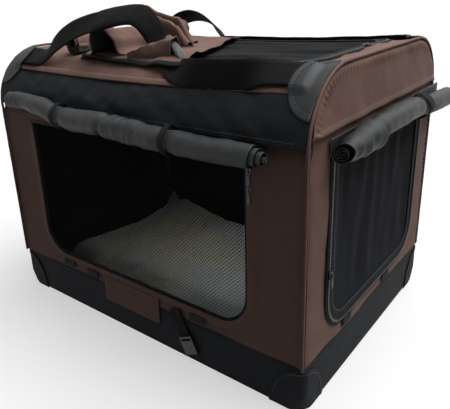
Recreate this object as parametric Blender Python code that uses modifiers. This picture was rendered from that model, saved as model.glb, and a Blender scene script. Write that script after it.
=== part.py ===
"""Soft-sided folding crate for a dog.

A fabric shell with a black base tub, brown walls and rounded shoulders is held up by two inverted
U-shaped steel hoops. Each hoop turns on a pair of brackets over the base frame, and both lie down
inside the tub when the crate is folded. Mesh doors with zips fill the front, both ends and the top,
and their outer curtains are rolled up and tied above them.

Units are metres, +Z is up, and the long front with the large door faces -Y. The origin is the
middle of the tub's underside.
"""
import math

import bmesh
import bpy
from mathutils import Matrix, Vector

# Fabric shell, outside sizes
LENGTH = 0.700
WIDTH = 0.500
HEIGHT = 0.520
SHOULDER_RADIUS = 0.105
WALL = 0.003
GAP = 0.0003

# Base tub
TUB_HEIGHT = 0.083
TUB_CORNER = 0.010
TUB_EDGE = 0.006
FLOOR = 0.003

# Steel frame
TUBE_RADIUS = 0.0065
TUBE_WALL = 0.001
FRAME_SIDE_CLEARANCE = 0.012
FRAME_END_CLEARANCE = 0.001
FRAME_CORNER = 0.020
SLEEVE_WALL = 0.0012
SLEEVE_LENGTH = 0.060
HOOP_END_CLEARANCE = 0.0055
HOOP_TOP_CLEARANCE = 0.0055
HOOP_BEND = 0.090
HOOP_SPACING = 0.015
HOOP_FOOT = 0.009
LEFT_PIVOT_HEIGHT = 0.024
FOLD_STEP = 0.047

# Hinge brackets and their rivets
PLATE = 0.0012
BRACKET_REACH = 0.021
BRACKET_EYE = 0.009
RIVET_RADIUS = 0.003
RIVET_HEAD = 0.0055
RIVET_HEAD_THICKNESS = 0.0012

# Cushion
CUSHION_HEIGHT = 0.075
CUSHION_EDGE = 0.018
CUSHION_END_CLEARANCE = 0.016
CUSHION_SIDE_CLEARANCE = 0.004

# The front and back bands cover the shoulders up to this angle, where the top is sewn to them
SEAM_ANGLE = math.radians(45)
PIPING_RADIUS = 0.0025

# Doors: half the width, sill above the tub, hinge below the top and lower corner radius
FRONT_DOOR_HALF = 0.250
FRONT_DOOR_DROP = 0.130
END_DOOR_HALF = 0.176
END_DOOR_DROP = 0.122
DOOR_SILL = 0.033
DOOR_CORNER = 0.055
TOP_DOOR_HALF = 0.165
TOP_DOOR_INSET = 0.055
TOP_DOOR_LENGTH = 0.467
DOOR_SHEET = 0.0012
DOOR_CLEARANCE = 0.0006
BINDING_WIDTH = 0.009
NET_PITCH = 0.065
NET_BAR = 0.006
TAPE_INSET = 0.001
TAPE_WIDTH = 0.013
TAPE = 0.001

# Zip sliders and their pull tabs
SLIDER_LENGTH = 0.012
SLIDER_WIDTH = 0.009
SLIDER_NOSE = 0.005
SLIDER_THICKNESS = 0.003
BRIDGE_LENGTH = 0.007
BRIDGE_WIDTH = 0.0016
BRIDGE_BAR = 0.001
BRIDGE_CLEAR = 0.0018
PULL_LENGTH = 0.020
PULL_WIDTH = 0.005
PULL_THICKNESS = 0.0008
PULL_EYE_WALL = 0.0012
PULL_EYE_LENGTH = 0.0055
FRONT_LOWER_SLIDER_DROP = 0.038
FRONT_UPPER_SLIDER_DROP = 0.010
END_SLIDER_RISE = 0.099
TOP_SLIDER_PLACE = 0.030

# Rolled curtains and the ties round them
CURTAIN = 0.0022
CURTAIN_PITCH = 0.0030
ROLL_RADIUS = 0.020
ROLL_TURNS = 4
ROLL_STEPS = 12
FRONT_ROLL_HALF = 0.285
FRONT_ROLL_DROP = 0.104
END_ROLL_HALF = 0.235
END_ROLL_DROP = 0.0965
FLAP_ROLL_HALF = 0.165
FLAP_ROLL_SETBACK = 0.034
FRONT_TIE_PLACE = 0.130
END_TIE_PLACE = 0.120
TIE = 0.0015
TIE_WIDTH = 0.020
TIE_APEX = math.radians(100)

# Webbing handles, whose middle line lies at an angle up the shoulder, and where their arches stand
WEBBING = 0.0025
HANDLE_WIDTH = 0.045
HANDLE_ANGLE = math.radians(59)
HANDLE_END_INSET = 0.016
HANDLE_ARCH = 0.070
HANDLE_LANDING = 0.020
FRONT_ARCH_START = -0.225
FRONT_ARCH_CREST = -0.005
FRONT_ARCH_END = 0.062
BACK_ARCH_START = -0.280
BACK_ARCH_CREST = -0.205
BACK_ARCH_END = -0.115
PATCH = 0.0015
PATCH_LENGTH = 0.041
PATCH_FOOT_ANGLE = math.radians(26)
PATCH_HEAD_ANGLE = math.radians(76)

# Small fabric trim on the front and the ends
FRONT_PATCH_LEFT = -0.085
FRONT_PATCH_RIGHT = 0.060
FRONT_PATCH_LOW = 0.050
STRAP_WIDTH = 0.024
STRAP_PLACE = 0.098
STRAP_LENGTH = 0.052
STRAP_LEAN = math.radians(26)
BUCKLE_LENGTH = 0.034
BUCKLE_WIDTH = 0.030
BUCKLE_THICKNESS = 0.006
BUCKLE_SLOT = 0.004

# Places worked out from the sizes above
HALF_LENGTH = LENGTH / 2
HALF_WIDTH = WIDTH / 2
WALL_FOOT = TUB_HEIGHT + GAP
SHELL_HALF = HALF_LENGTH - WALL - GAP
SHOULDER_Y = HALF_WIDTH - SHOULDER_RADIUS
SHOULDER_Z = HEIGHT - SHOULDER_RADIUS
COVER_ANGLE = SEAM_ANGLE + GAP / SHOULDER_RADIUS
INNER_HALF_WIDTH = HALF_WIDTH - WALL
INNER_HALF_LENGTH = HALF_LENGTH - WALL
RAIL_Y = INNER_HALF_WIDTH - FRAME_SIDE_CLEARANCE - TUBE_RADIUS
RAIL_X = INNER_HALF_LENGTH - FRAME_END_CLEARANCE - TUBE_RADIUS
SLEEVE_RADIUS = TUBE_RADIUS + GAP + SLEEVE_WALL
RAIL_Z = FLOOR + GAP + SLEEVE_RADIUS
BRACKET_SEAT = RAIL_Z + TUBE_RADIUS + GAP
HOOP_X = INNER_HALF_LENGTH - HOOP_END_CLEARANCE - TUBE_RADIUS
HOOP_TOP = HEIGHT - WALL - HOOP_TOP_CLEARANCE - TUBE_RADIUS
WIDE_POST = RAIL_Y + HOOP_SPACING / 2
NARROW_POST = RAIL_Y - HOOP_SPACING / 2
LEFT_PIVOT = BRACKET_SEAT + LEFT_PIVOT_HEIGHT
RIGHT_PIVOT = LEFT_PIVOT + FOLD_STEP
CHEEK_INSIDE = TUBE_RADIUS + GAP
CHEEK_OUTSIDE = CHEEK_INSIDE + PLATE
DOOR_LOW = TUB_HEIGHT + DOOR_SILL
FRONT_DOOR_HINGE = HEIGHT - FRONT_DOOR_DROP
END_DOOR_HINGE = HEIGHT - END_DOOR_DROP
TOP_DOOR_RIGHT = HALF_LENGTH - TOP_DOOR_INSET
TOP_DOOR_HINGE = TOP_DOOR_RIGHT - TOP_DOOR_LENGTH
HANDLE_Y = SHOULDER_Y + SHOULDER_RADIUS * math.cos(HANDLE_ANGLE)
HANDLE_END = HALF_LENGTH - HANDLE_END_INSET

X_AXIS = Vector((1, 0, 0))
Y_AXIS = Vector((0, 1, 0))
Z_AXIS = Vector((0, 0, 1))


def plane(across, up, origin=(0, 0, 0)):
    """Placement whose local x runs across, local y runs up and local z points out."""
    matrix = Matrix((across, up, across.cross(up))).transposed().to_4x4()
    matrix.translation = origin
    return matrix


FRONT = plane(X_AXIS, Z_AXIS)
RIGHT = plane(Y_AXIS, Z_AXIS)
LEFT = plane(-Y_AXIS, Z_AXIS)
BACK = plane(-X_AXIS, Z_AXIS)
TOP = plane(X_AXIS, Y_AXIS)
TOP_DOOR = plane(Y_AXIS, -X_AXIS)

for old in list(bpy.data.objects):
    bpy.data.objects.remove(old, do_unlink=True)

parts = bpy.data.collections.new("soft_dog_crate")
cutters = bpy.data.collections.new("cutters")
for group in (parts, cutters):
    bpy.context.scene.collection.children.link(group)


def finish(name, colour, roughness, metallic=0.0):
    """Principled material with the part's colour, roughness and metallic value."""
    material = bpy.data.materials.new(name)
    material.use_nodes = True
    shader = material.node_tree.nodes["Principled BSDF"]
    shader.inputs["Base Color"].default_value = (*colour, 1.0)
    shader.inputs["Roughness"].default_value = roughness
    shader.inputs["Metallic"].default_value = metallic
    return material


BROWN_CLOTH = finish("brown_cloth", (0.115, 0.070, 0.055), 0.85)
BLACK_CLOTH = finish("black_cloth", (0.012, 0.013, 0.015), 0.80)
GREY_LINING = finish("grey_lining", (0.050, 0.050, 0.048), 0.55)
BLACK_MESH = finish("black_mesh", (0.006, 0.006, 0.007), 0.70)
WEBBING_BLACK = finish("black_webbing", (0.010, 0.010, 0.011), 0.65)
FLEECE = finish("fleece", (0.330, 0.320, 0.240), 0.95)
STEEL = finish("coated_steel", (0.020, 0.020, 0.022), 0.40, 0.6)
ZINC = finish("zinc", (0.450, 0.450, 0.460), 0.30, 1.0)
PLASTIC = finish("black_plastic", (0.012, 0.012, 0.013), 0.40)


def keep(obj, material):
    """Give an object its material and put it with the parts."""
    obj.data.materials.clear()
    obj.data.materials.append(material)
    if obj.type == "MESH":
        obj.data.shade_smooth()
        obj.data.set_sharp_from_angle(angle=math.radians(35))
    parts.objects.link(obj)
    return obj


def pivot(name, place):
    """Empty on a joint's axis, which carries the pieces that turn or slide there."""
    empty = bpy.data.objects.new(name, None)
    empty.empty_display_size = 0.03
    empty.matrix_world = Matrix.Translation(place)
    parts.objects.link(empty)
    return empty


def hang(carrier, *objects):
    """Parent objects to a joint's empty without moving them."""
    for obj in objects:
        obj.parent = carrier
        obj.matrix_parent_inverse = carrier.matrix_world.inverted()


def arc(centre, radius, start, stop, steps=8):
    """Points of a circular arc; angles in degrees."""
    turn = [math.radians(start + (stop - start) * i / steps) for i in range(steps + 1)]
    return [(centre[0] + radius * math.cos(a), centre[1] + radius * math.sin(a)) for a in turn]


def box(left, right, low, high):
    return [(left, low), (right, low), (right, high), (left, high)]


def plate(name, placing, outlines, low, high, material):
    """Flat piece: closed outlines, the inner ones being holes, from low to high along the normal."""
    data = bpy.data.curves.new(name, "CURVE")
    data.dimensions = "2D"
    data.fill_mode = "BOTH"
    data.extrude = (high - low) / 2
    for outline in outlines:
        spline = data.splines.new("POLY")
        spline.points.add(len(outline) - 1)
        for point, (u, v) in zip(spline.points, outline):
            point.co = (u, v, 0, 1)
        spline.use_cyclic_u = True
    obj = bpy.data.objects.new(name, data)
    obj.matrix_world = placing @ Matrix.Translation((0, 0, (low + high) / 2))
    return keep(obj, material)


def as_mesh(obj):
    """Replace a curve or a modified object by its welded mesh, at the same place."""
    bpy.context.view_layer.update()
    graph = bpy.context.evaluated_depsgraph_get()
    mesh = bpy.data.meshes.new_from_object(obj.evaluated_get(graph))
    work = bmesh.new()
    work.from_mesh(mesh)
    bmesh.ops.remove_doubles(work, verts=work.verts, dist=0.00002)
    bmesh.ops.recalc_face_normals(work, faces=work.faces)
    work.to_mesh(mesh)
    work.free()
    name = obj.name
    place = obj.matrix_world.copy()
    material = obj.data.materials[0]
    bpy.data.objects.remove(obj, do_unlink=True)
    made = bpy.data.objects.new(name, mesh)
    made.matrix_world = place
    return keep(made, material)


def as_cutter(obj):
    """Turn a piece into a cutter."""
    for home in list(obj.users_collection):
        home.objects.unlink(obj)
    cutters.objects.link(obj)
    obj.hide_render = True
    obj.display_type = "WIRE"
    return obj


def combine(obj, other, name, operation):
    """Boolean modifier that joins another solid to an object or cuts it away."""
    step = obj.modifiers.new(name, "BOOLEAN")
    step.operation = operation
    step.solver = "EXACT"
    step.object = other


def tube(name, points, radius, wall, material):
    """Hollow tube with open ends along a line of points."""
    data = bpy.data.curves.new(name, "CURVE")
    data.dimensions = "3D"
    data.bevel_depth = radius
    data.bevel_resolution = 3
    spline = data.splines.new("POLY")
    spline.points.add(len(points) - 1)
    for point, place in zip(spline.points, points):
        point.co = (*place, 1)
    curve = bpy.data.objects.new(name, data)
    data.materials.append(material)
    parts.objects.link(curve)
    obj = as_mesh(curve)
    hollow = obj.modifiers.new("wall", "SOLIDIFY")
    hollow.thickness = wall
    hollow.offset = -1
    return obj


def cord(name, points, radius, material):
    """Solid cord along a line of points."""
    data = bpy.data.curves.new(name, "CURVE")
    data.dimensions = "3D"
    data.bevel_depth = radius
    data.bevel_resolution = 2
    data.use_fill_caps = True
    spline = data.splines.new("POLY")
    spline.points.add(len(points) - 1)
    for point, place in zip(spline.points, points):
        point.co = (*place, 1)
    return keep(bpy.data.objects.new(name, data), material)


def drill(obj, name, place, radius, length):
    """Round hole along Y through an object."""
    bpy.ops.mesh.primitive_cylinder_add(vertices=16, radius=radius, depth=length, location=place,
                                        rotation=(math.pi / 2, 0, 0))
    cutter = as_cutter(bpy.context.object)
    cutter.name = name
    combine(obj, cutter, name, "DIFFERENCE")


# Base tub: floor and black band in one stitched piece, open at the top
def base_tub():
    work = bmesh.new()
    bmesh.ops.create_cube(work, size=1)
    bmesh.ops.scale(work, vec=(LENGTH, WIDTH, TUB_HEIGHT), verts=work.verts)
    bmesh.ops.translate(work, vec=(0, 0, TUB_HEIGHT / 2), verts=work.verts)
    lid = [f for f in work.faces if f.normal.z > 0.5]
    bmesh.ops.delete(work, geom=lid, context="FACES_ONLY")
    posts = [e for e in work.edges if abs(e.verts[0].co.z - e.verts[1].co.z) > TUB_HEIGHT / 2]
    bmesh.ops.bevel(work, geom=posts, offset=TUB_CORNER, segments=4, profile=0.5, affect="EDGES",
                    material=-1)
    foot = [e for e in work.edges if max(v.co.z for v in e.verts) < GAP]
    bmesh.ops.bevel(work, geom=foot, offset=TUB_EDGE, segments=3, profile=0.5, affect="EDGES",
                    material=-1)
    mesh = bpy.data.meshes.new("base_tub")
    work.to_mesh(mesh)
    work.free()
    obj = keep(bpy.data.objects.new("base_tub", mesh), BLACK_CLOTH)
    skin = obj.modifiers.new("cloth", "SOLIDIFY")
    skin.thickness = FLOOR
    skin.offset = -1
    skin.use_even_offset = True


base_tub()


# Base frame: two U-shaped tubes whose open ends meet in a sleeve at the middle of each side
def base_frame():
    bend_x = RAIL_X - FRAME_CORNER
    bend_y = RAIL_Y - FRAME_CORNER
    for name, side in (("base_tube_left", -1), ("base_tube_right", 1)):
        route = [(GAP / 2, -RAIL_Y)]
        route += arc((bend_x, -bend_y), FRAME_CORNER, -90, 0, 6)
        route += arc((bend_x, bend_y), FRAME_CORNER, 0, 90, 6)
        route.append((GAP / 2, RAIL_Y))
        tube(name, [(side * x, y, RAIL_Z) for x, y in route], TUBE_RADIUS, TUBE_WALL, STEEL)
    for name, y in (("front_frame_sleeve", -RAIL_Y), ("back_frame_sleeve", RAIL_Y)):
        ends = [(-SLEEVE_LENGTH / 2, y, RAIL_Z), (SLEEVE_LENGTH / 2, y, RAIL_Z)]
        tube(name, ends, SLEEVE_RADIUS, SLEEVE_WALL, STEEL)


base_frame()


# Hinge brackets: two cheeks on a foot that is riveted over the base frame, one pair for each hoop
def bracket(name, side, y, height):
    outline = [(-BRACKET_EYE, 0), (BRACKET_REACH, 0), (BRACKET_REACH, PLATE * 3)]
    outline += arc((0, height), BRACKET_EYE, 0, 180, 10)
    eye = arc((0, height), RIVET_RADIUS + GAP, 0, 345, 23)
    here = plane(-side * X_AXIS, Z_AXIS, (side * HOOP_X, y, BRACKET_SEAT))
    pieces = [as_mesh(plate(f"{name}_cheek_{side}", here, [outline, eye], low, low + PLATE, STEEL))
              for side, low in (("in", -CHEEK_OUTSIDE), ("out", CHEEK_INSIDE))]
    foot = box(-BRACKET_EYE, BRACKET_REACH, 0, PLATE)
    web = as_mesh(plate(f"{name}_foot", here, [foot], -CHEEK_OUTSIDE + PLATE / 2,
                        CHEEK_OUTSIDE - PLATE / 2, STEEL))
    for piece in pieces:
        combine(web, as_cutter(piece), piece.name, "UNION")
    web.name = name


def rivet(name, x, y, z):
    """Turned rivet with two flat heads, lying along Y."""
    reach = CHEEK_OUTSIDE + GAP
    head = reach + RIVET_HEAD_THICKNESS
    profile = [(0, head), (RIVET_HEAD, head), (RIVET_HEAD, reach), (RIVET_RADIUS, reach),
               (RIVET_RADIUS, -reach), (RIVET_HEAD, -reach), (RIVET_HEAD, -head), (0, -head)]
    work = bmesh.new()
    verts = [work.verts.new((r, 0, h)) for r, h in profile]
    for a, b in zip(verts, verts[1:]):
        work.edges.new((a, b))
    mesh = bpy.data.meshes.new(name)
    work.to_mesh(mesh)
    work.free()
    obj = keep(bpy.data.objects.new(name, mesh), ZINC)
    obj.matrix_world = Matrix.Translation((x, y, z)) @ Matrix.Rotation(math.pi / 2, 4, "X")
    turn = obj.modifiers.new("turn", "SCREW")
    turn.steps = 16
    turn.render_steps = 16
    turn.use_merge_vertices = True
    turn.merge_threshold = 0.00005


def hinges(end, side, post, height):
    """Both brackets and rivets of one hoop."""
    for edge, y in (("front", -post), ("back", post)):
        bracket(f"{end}_{edge}_bracket", side, y, height - BRACKET_SEAT)
        rivet(f"{end}_{edge}_rivet", side * HOOP_X, y, height)


hinges("right", 1, WIDE_POST, RIGHT_PIVOT)
hinges("left", -1, NARROW_POST, LEFT_PIVOT)


# End hoops: inverted U tubes, the right one wider so that the two pass each other as they fold
def hoop(name, side, post, height):
    carrier = pivot(f"{name}_pivot", (side * HOOP_X, 0, height))
    bend_y = post - HOOP_BEND
    bend_z = HOOP_TOP - HOOP_BEND
    route = [(-post, height - HOOP_FOOT)]
    route += arc((-bend_y, bend_z), HOOP_BEND, 180, 90)
    route += arc((bend_y, bend_z), HOOP_BEND, 90, 0)
    route.append((post, height - HOOP_FOOT))
    obj = tube(name, [(side * HOOP_X, y, z) for y, z in route], TUBE_RADIUS, TUBE_WALL, STEEL)
    for end, y in (("front", -post), ("back", post)):
        drill(obj, f"{name}_{end}_hole", (side * HOOP_X, y, height), RIVET_RADIUS + GAP,
              4 * TUBE_RADIUS)
    hang(carrier, obj)


hoop("right_hoop", 1, WIDE_POST, RIGHT_PIVOT)
hoop("left_hoop", -1, NARROW_POST, LEFT_PIVOT)


# Cushion: a thick fleece pad laid on the floor between the frame's rails
def cushion():
    half_x = HOOP_X - CUSHION_END_CLEARANCE
    half_y = NARROW_POST - CHEEK_OUTSIDE - RIVET_HEAD_THICKNESS - CUSHION_SIDE_CLEARANCE
    work = bmesh.new()
    bmesh.ops.create_cube(work, size=1)
    bmesh.ops.scale(work, vec=(2 * half_x, 2 * half_y, CUSHION_HEIGHT), verts=work.verts)
    bmesh.ops.translate(work, vec=(0, 0, FLOOR + GAP + CUSHION_HEIGHT / 2), verts=work.verts)
    bmesh.ops.bevel(work, geom=list(work.edges), offset=CUSHION_EDGE, segments=2, profile=0.5,
                    affect="EDGES", material=-1)
    mesh = bpy.data.meshes.new("cushion")
    work.to_mesh(mesh)
    work.free()
    obj = keep(bpy.data.objects.new("cushion", mesh), FLEECE)
    soft = obj.modifiers.new("soft", "SUBSURF")
    soft.levels = 1
    soft.render_levels = 1


cushion()


def shoulder(side, out, start=0.0, stop=math.pi / 2, steps=6):
    """Line up the round shoulder between two angles, out metres outside the shell's face."""
    ends = [angle if side > 0 else math.pi - angle for angle in (start, stop)]
    return arc((side * SHOULDER_Y, SHOULDER_Z), SHOULDER_RADIUS + out, *map(math.degrees, ends),
               steps)


def end_line(out):
    """Line up one long wall, over both shoulders and down the other wall."""
    front, back = ([(side * (HALF_WIDTH + out), WALL_FOOT)] + shoulder(side, out, steps=9)
                   for side in (-1, 1))
    return front + back[::-1]


def door_line(half, low, high, corner, out):
    """U-shaped line down one side of a door, round its lower corners and up the other."""
    line = [(-half - out, high)]
    line += arc((-half + corner, low + corner), corner + out, 180, 270, 6)
    line += arc((half - corner, low + corner), corner + out, 270, 360, 6)
    line.append((half + out, high))
    return line


FRONT_SIZES = (FRONT_DOOR_HALF, DOOR_LOW, FRONT_DOOR_HINGE, DOOR_CORNER)
END_SIZES = (END_DOOR_HALF, DOOR_LOW, END_DOOR_HINGE, DOOR_CORNER)
TOP_SIZES = (TOP_DOOR_HALF, -TOP_DOOR_RIGHT, -TOP_DOOR_HINGE, DOOR_CORNER)


def doorway(sizes):
    """Hole in a wall for a door, a little larger all round."""
    half, low, high, corner = sizes
    return door_line(half, low, high + DOOR_CLEARANCE, corner, DOOR_CLEARANCE)


def net_openings(sizes):
    """Plain grid of square openings inside a door's binding, which stands for its fine net."""
    half, low, high, corner = sizes
    left = BINDING_WIDTH - half
    foot = low + BINDING_WIDTH
    columns = round(-2 * left / NET_PITCH)
    rows = round((high - BINDING_WIDTH - foot) / NET_PITCH)
    wide = -2 * left / columns
    tall = (high - BINDING_WIDTH - foot) / rows
    bar = NET_BAR / 2
    return [box(left + i * wide + bar, left + (i + 1) * wide - bar,
                foot + j * tall + bar, foot + (j + 1) * tall - bar)
            for i in range(columns) for j in range(rows)]


def panel(name, placing, face, outlines, low, high, material):
    """Sheet cut to outlines between two heights over a wall's face; on top it bends down the shoulders."""
    if placing is not TOP_DOOR:
        return as_mesh(plate(name, placing, outlines, face + low, face + high, material))
    over = [shoulder(-1, out, COVER_ANGLE) + shoulder(1, out, COVER_ANGLE)[::-1]
            for out in (high, low)]
    sheet = as_mesh(plate(name, RIGHT, [over[0] + over[1][::-1]], -SHELL_HALF, SHELL_HALF,
                          material))
    shape = as_mesh(plate(f"{name}_outline", placing, outlines, 0, 2 * face, material))
    combine(sheet, as_cutter(shape), "outline", "INTERSECT")
    return as_mesh(sheet)


# Walls: flat front, back and ends, the long walls' black bands, and the top sewn between these
def walls():
    wall_top = SHOULDER_Z - GAP
    long_wall = box(-SHELL_HALF, SHELL_HALF, WALL_FOOT, wall_top)
    plate("front_wall", FRONT, [long_wall, doorway(FRONT_SIZES)], INNER_HALF_WIDTH, HALF_WIDTH,
          BROWN_CLOTH)
    plate("back_wall", BACK, [long_wall], INNER_HALF_WIDTH, HALF_WIDTH, BROWN_CLOTH)
    for name, side in (("front_shoulder_band", -1), ("back_shoulder_band", 1)):
        outside = shoulder(side, 0, 0, SEAM_ANGLE)
        inside = shoulder(side, -WALL, 0, SEAM_ANGLE)
        plate(name, RIGHT, [outside + inside[::-1]], -SHELL_HALF, SHELL_HALF, BLACK_CLOTH)
    for name, placing in (("right_wall", RIGHT), ("left_wall", LEFT)):
        plate(name, placing, [end_line(0), doorway(END_SIZES)], INNER_HALF_LENGTH, HALF_LENGTH,
              BROWN_CLOTH)
    cover = box(-HALF_WIDTH, HALF_WIDTH, -HALF_LENGTH, HALF_LENGTH)
    panel("top_cover", TOP_DOOR, HEIGHT, [cover, doorway(TOP_SIZES)], -WALL, 0, BROWN_CLOTH)


walls()


# Piping: a cord sewn into each end's seam, up one long wall, over the top and down the other
def end_piping(name, side):
    x = side * (HALF_LENGTH - PIPING_RADIUS)
    line = end_line(GAP + PIPING_RADIUS)
    cord(name, [(x, y, z) for y, z in line], PIPING_RADIUS, BROWN_CLOTH)


end_piping("right_piping", 1)
end_piping("left_piping", -1)


# Corner patches: rounded black cloth sewn over the shoulders' ends, where the handles are anchored
def corner_patches():
    high = HALF_LENGTH - 2 * PIPING_RADIUS - GAP
    middle = (PATCH_FOOT_ANGLE + PATCH_HEAD_ANGLE) / 2
    half_turn = (PATCH_HEAD_ANGLE - PATCH_FOOT_ANGLE) / 2
    reach = SHOULDER_RADIUS * math.sin(half_turn)
    spare = PATCH / SHOULDER_RADIUS
    turns = (PATCH_FOOT_ANGLE - spare, PATCH_HEAD_ANGLE + spare)
    for edge, side in (("front", -1), ("back", 1)):
        outside = shoulder(side, GAP + PATCH, *turns)
        inside = shoulder(side, GAP, *turns)
        up = Vector((0, -side * math.sin(middle), math.cos(middle)))
        crown = Vector((0, side * (SHOULDER_Y + SHOULDER_RADIUS * math.cos(middle)),
                        SHOULDER_Z + SHOULDER_RADIUS * math.sin(middle)))
        for end, way in (("left", -1), ("right", 1)):
            name = f"corner_patch_{end}_{edge}"
            low, top = sorted((way * (high - PATCH_LENGTH - PATCH), way * high))
            sheet = as_mesh(plate(name, RIGHT, [outside + inside[::-1]], low, top, BLACK_CLOTH))
            inward = way * side
            outline = [(inward * PATCH_LENGTH * u, reach * v) for u, v in arc((0, 0), 1, -90, 90, 14)]
            outline += [(-inward * PATCH, reach), (-inward * PATCH, -reach)]
            here = plane(-side * X_AXIS, up, crown + X_AXIS * way * high)
            shape = as_mesh(plate(f"{name}_outline", here, [outline], -PATCH_LENGTH / 2,
                                  PATCH_LENGTH / 2, BLACK_CLOTH))
            combine(sheet, as_cutter(shape), "outline", "INTERSECT")


corner_patches()


# Doors: a net in a bound edge, hinged along its upper seam, and the zip tape round it
def door(name, placing, sizes, face):
    half, low, high, corner = sizes
    sheet = panel(name, placing, face, [door_line(*sizes, 0)], -DOOR_SHEET, TAPE, BLACK_MESH)
    inside = door_line(half, low, high + TAPE_WIDTH, corner, -BINDING_WIDTH)
    recess = panel(f"{name}_recess", placing, face, [inside], 0, 2 * TAPE, BLACK_MESH)
    combine(sheet, as_cutter(recess), "recess", "DIFFERENCE")
    openings = as_mesh(plate(f"{name}_openings", placing, net_openings(sizes), 0, 2 * face,
                             BLACK_MESH))
    edge = door_line(half, low, high, corner, -BINDING_WIDTH - NET_BAR / 2)
    limit = as_mesh(plate(f"{name}_limit", placing, [edge], -face, 3 * face, BLACK_MESH))
    combine(openings, as_cutter(limit), "limit", "INTERSECT")
    combine(sheet, as_cutter(openings), "net", "DIFFERENCE")
    hang(pivot(f"{name}_hinge", placing @ Vector((0, high, face))), sheet)
    tape = door_line(*sizes, TAPE_INSET + TAPE_WIDTH) + door_line(*sizes, TAPE_INSET)[::-1]
    panel(f"{name}_zip_tape", placing, face, [tape], GAP, GAP + TAPE, BLACK_CLOTH)


door("front_door", FRONT, FRONT_SIZES, HALF_WIDTH)
door("right_door", RIGHT, END_SIZES, HALF_LENGTH)
door("left_door", LEFT, END_SIZES, HALF_LENGTH)
door("top_door", TOP_DOOR, TOP_SIZES, HEIGHT)


# Zip sliders: a wedge-shaped runner with a bridge, and a pull tab whose eye is round the bridge
def slider(name, placing, u, v, face):
    seat = face + GAP + TAPE + GAP
    top = seat + SLIDER_THICKNESS
    here = placing @ Matrix.Translation((u, v, top))
    half = SLIDER_LENGTH / 2
    runner = [(-SLIDER_NOSE / 2, -half), (SLIDER_NOSE / 2, -half),
              (SLIDER_WIDTH / 2, 0), (SLIDER_WIDTH / 2, half),
              (-SLIDER_WIDTH / 2, half), (-SLIDER_WIDTH / 2, 0)]
    body = as_mesh(plate(f"{name}_slider", here, [runner], -SLIDER_THICKNESS, 0, ZINC))
    out = placing.to_3x3().col[2]
    along = placing.to_3x3().col[1]
    side_on = plane(along, out, here.translation)
    reach = BRIDGE_LENGTH / 2
    height = BRIDGE_CLEAR + BRIDGE_BAR
    bridge = [(-reach, -SLIDER_THICKNESS / 2), (-reach + BRIDGE_BAR, -SLIDER_THICKNESS / 2),
              (-reach + BRIDGE_BAR, BRIDGE_CLEAR), (reach - BRIDGE_BAR, BRIDGE_CLEAR),
              (reach - BRIDGE_BAR, -SLIDER_THICKNESS / 2), (reach, -SLIDER_THICKNESS / 2),
              (reach, height), (-reach, height)]
    arch = as_mesh(plate(f"{name}_bridge", side_on, [bridge], -BRIDGE_WIDTH / 2,
                         BRIDGE_WIDTH / 2, ZINC))
    combine(body, as_cutter(arch), "bridge", "UNION")
    hang(pivot(f"{name}_slider_track", here.translation), body)
    eye_top = PULL_EYE_WALL / 2
    lift = BRIDGE_CLEAR / 2
    round_end = PULL_WIDTH / 2
    tab = arc((0, eye_top - PULL_LENGTH + round_end), round_end, 180, 360, 8)
    tab += [(PULL_WIDTH / 2, eye_top), (-PULL_WIDTH / 2, eye_top)]
    inner = PULL_WIDTH / 2 - PULL_EYE_WALL
    eye = box(-inner, inner, eye_top - PULL_EYE_WALL - PULL_EYE_LENGTH, eye_top - PULL_EYE_WALL)
    pull = plate(f"{name}_pull", here, [tab, eye], lift - PULL_THICKNESS / 2,
                 lift + PULL_THICKNESS / 2, ZINC)
    hang(pivot(f"{name}_pull_eye", here.translation + lift * out), pull)


CHAIN = TAPE_INSET + TAPE_WIDTH / 2
slider("front_zip_lower", FRONT, FRONT_DOOR_HALF + CHAIN,
       FRONT_DOOR_HINGE - FRONT_LOWER_SLIDER_DROP, HALF_WIDTH)
slider("front_zip_upper", FRONT, FRONT_DOOR_HALF + CHAIN,
       FRONT_DOOR_HINGE - FRONT_UPPER_SLIDER_DROP, HALF_WIDTH)
slider("right_zip", RIGHT, -END_DOOR_HALF - CHAIN, DOOR_LOW + END_SLIDER_RISE, HALF_LENGTH)
slider("left_zip", LEFT, -END_DOOR_HALF - CHAIN, DOOR_LOW + END_SLIDER_RISE, HALF_LENGTH)
slider("top_zip", TOP, TOP_DOOR_RIGHT + CHAIN, TOP_SLIDER_PLACE, HEIGHT)


def roll_middle(face):
    """Distance from the shell's middle to a tied roll's axis; the tie passes behind the roll."""
    return face + GAP + TIE + GAP + ROLL_RADIUS


def tie_radius():
    return ROLL_RADIUS + GAP


def rolled_sheet(u, v):
    """Spiral section of a rolled curtain whose free run goes up beside the wall at +u."""
    tail = tie_radius() * math.tan(TIE_APEX / 2) - 3 * TIE
    outer_line = [(u + ROLL_RADIUS, v + tail)]
    inner_line = [(u + ROLL_RADIUS - CURTAIN, v + tail)]
    count = ROLL_TURNS * ROLL_STEPS
    for i in range(count + 1):
        angle = -2 * math.pi * i / ROLL_STEPS
        radius = ROLL_RADIUS - CURTAIN_PITCH * i / ROLL_STEPS
        outer_line.append((u + radius * math.cos(angle), v + radius * math.sin(angle)))
        inner = radius - CURTAIN
        inner_line.append((u + inner * math.cos(angle), v + inner * math.sin(angle)))
    return outer_line + inner_line[::-1]


def tie_loop(u, v):
    """Webbing loop round a roll and its free run, pointed where it is sewn to the wall."""
    apex = math.degrees(TIE_APEX)
    loops = []
    for radius in (tie_radius() + TIE, tie_radius()):
        loop = [(u + radius, v + radius * math.tan(TIE_APEX / 2))]
        loop += arc((u, v), radius, 0, apex - 360, 16)
        loops.append(loop)
    return loops


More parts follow.
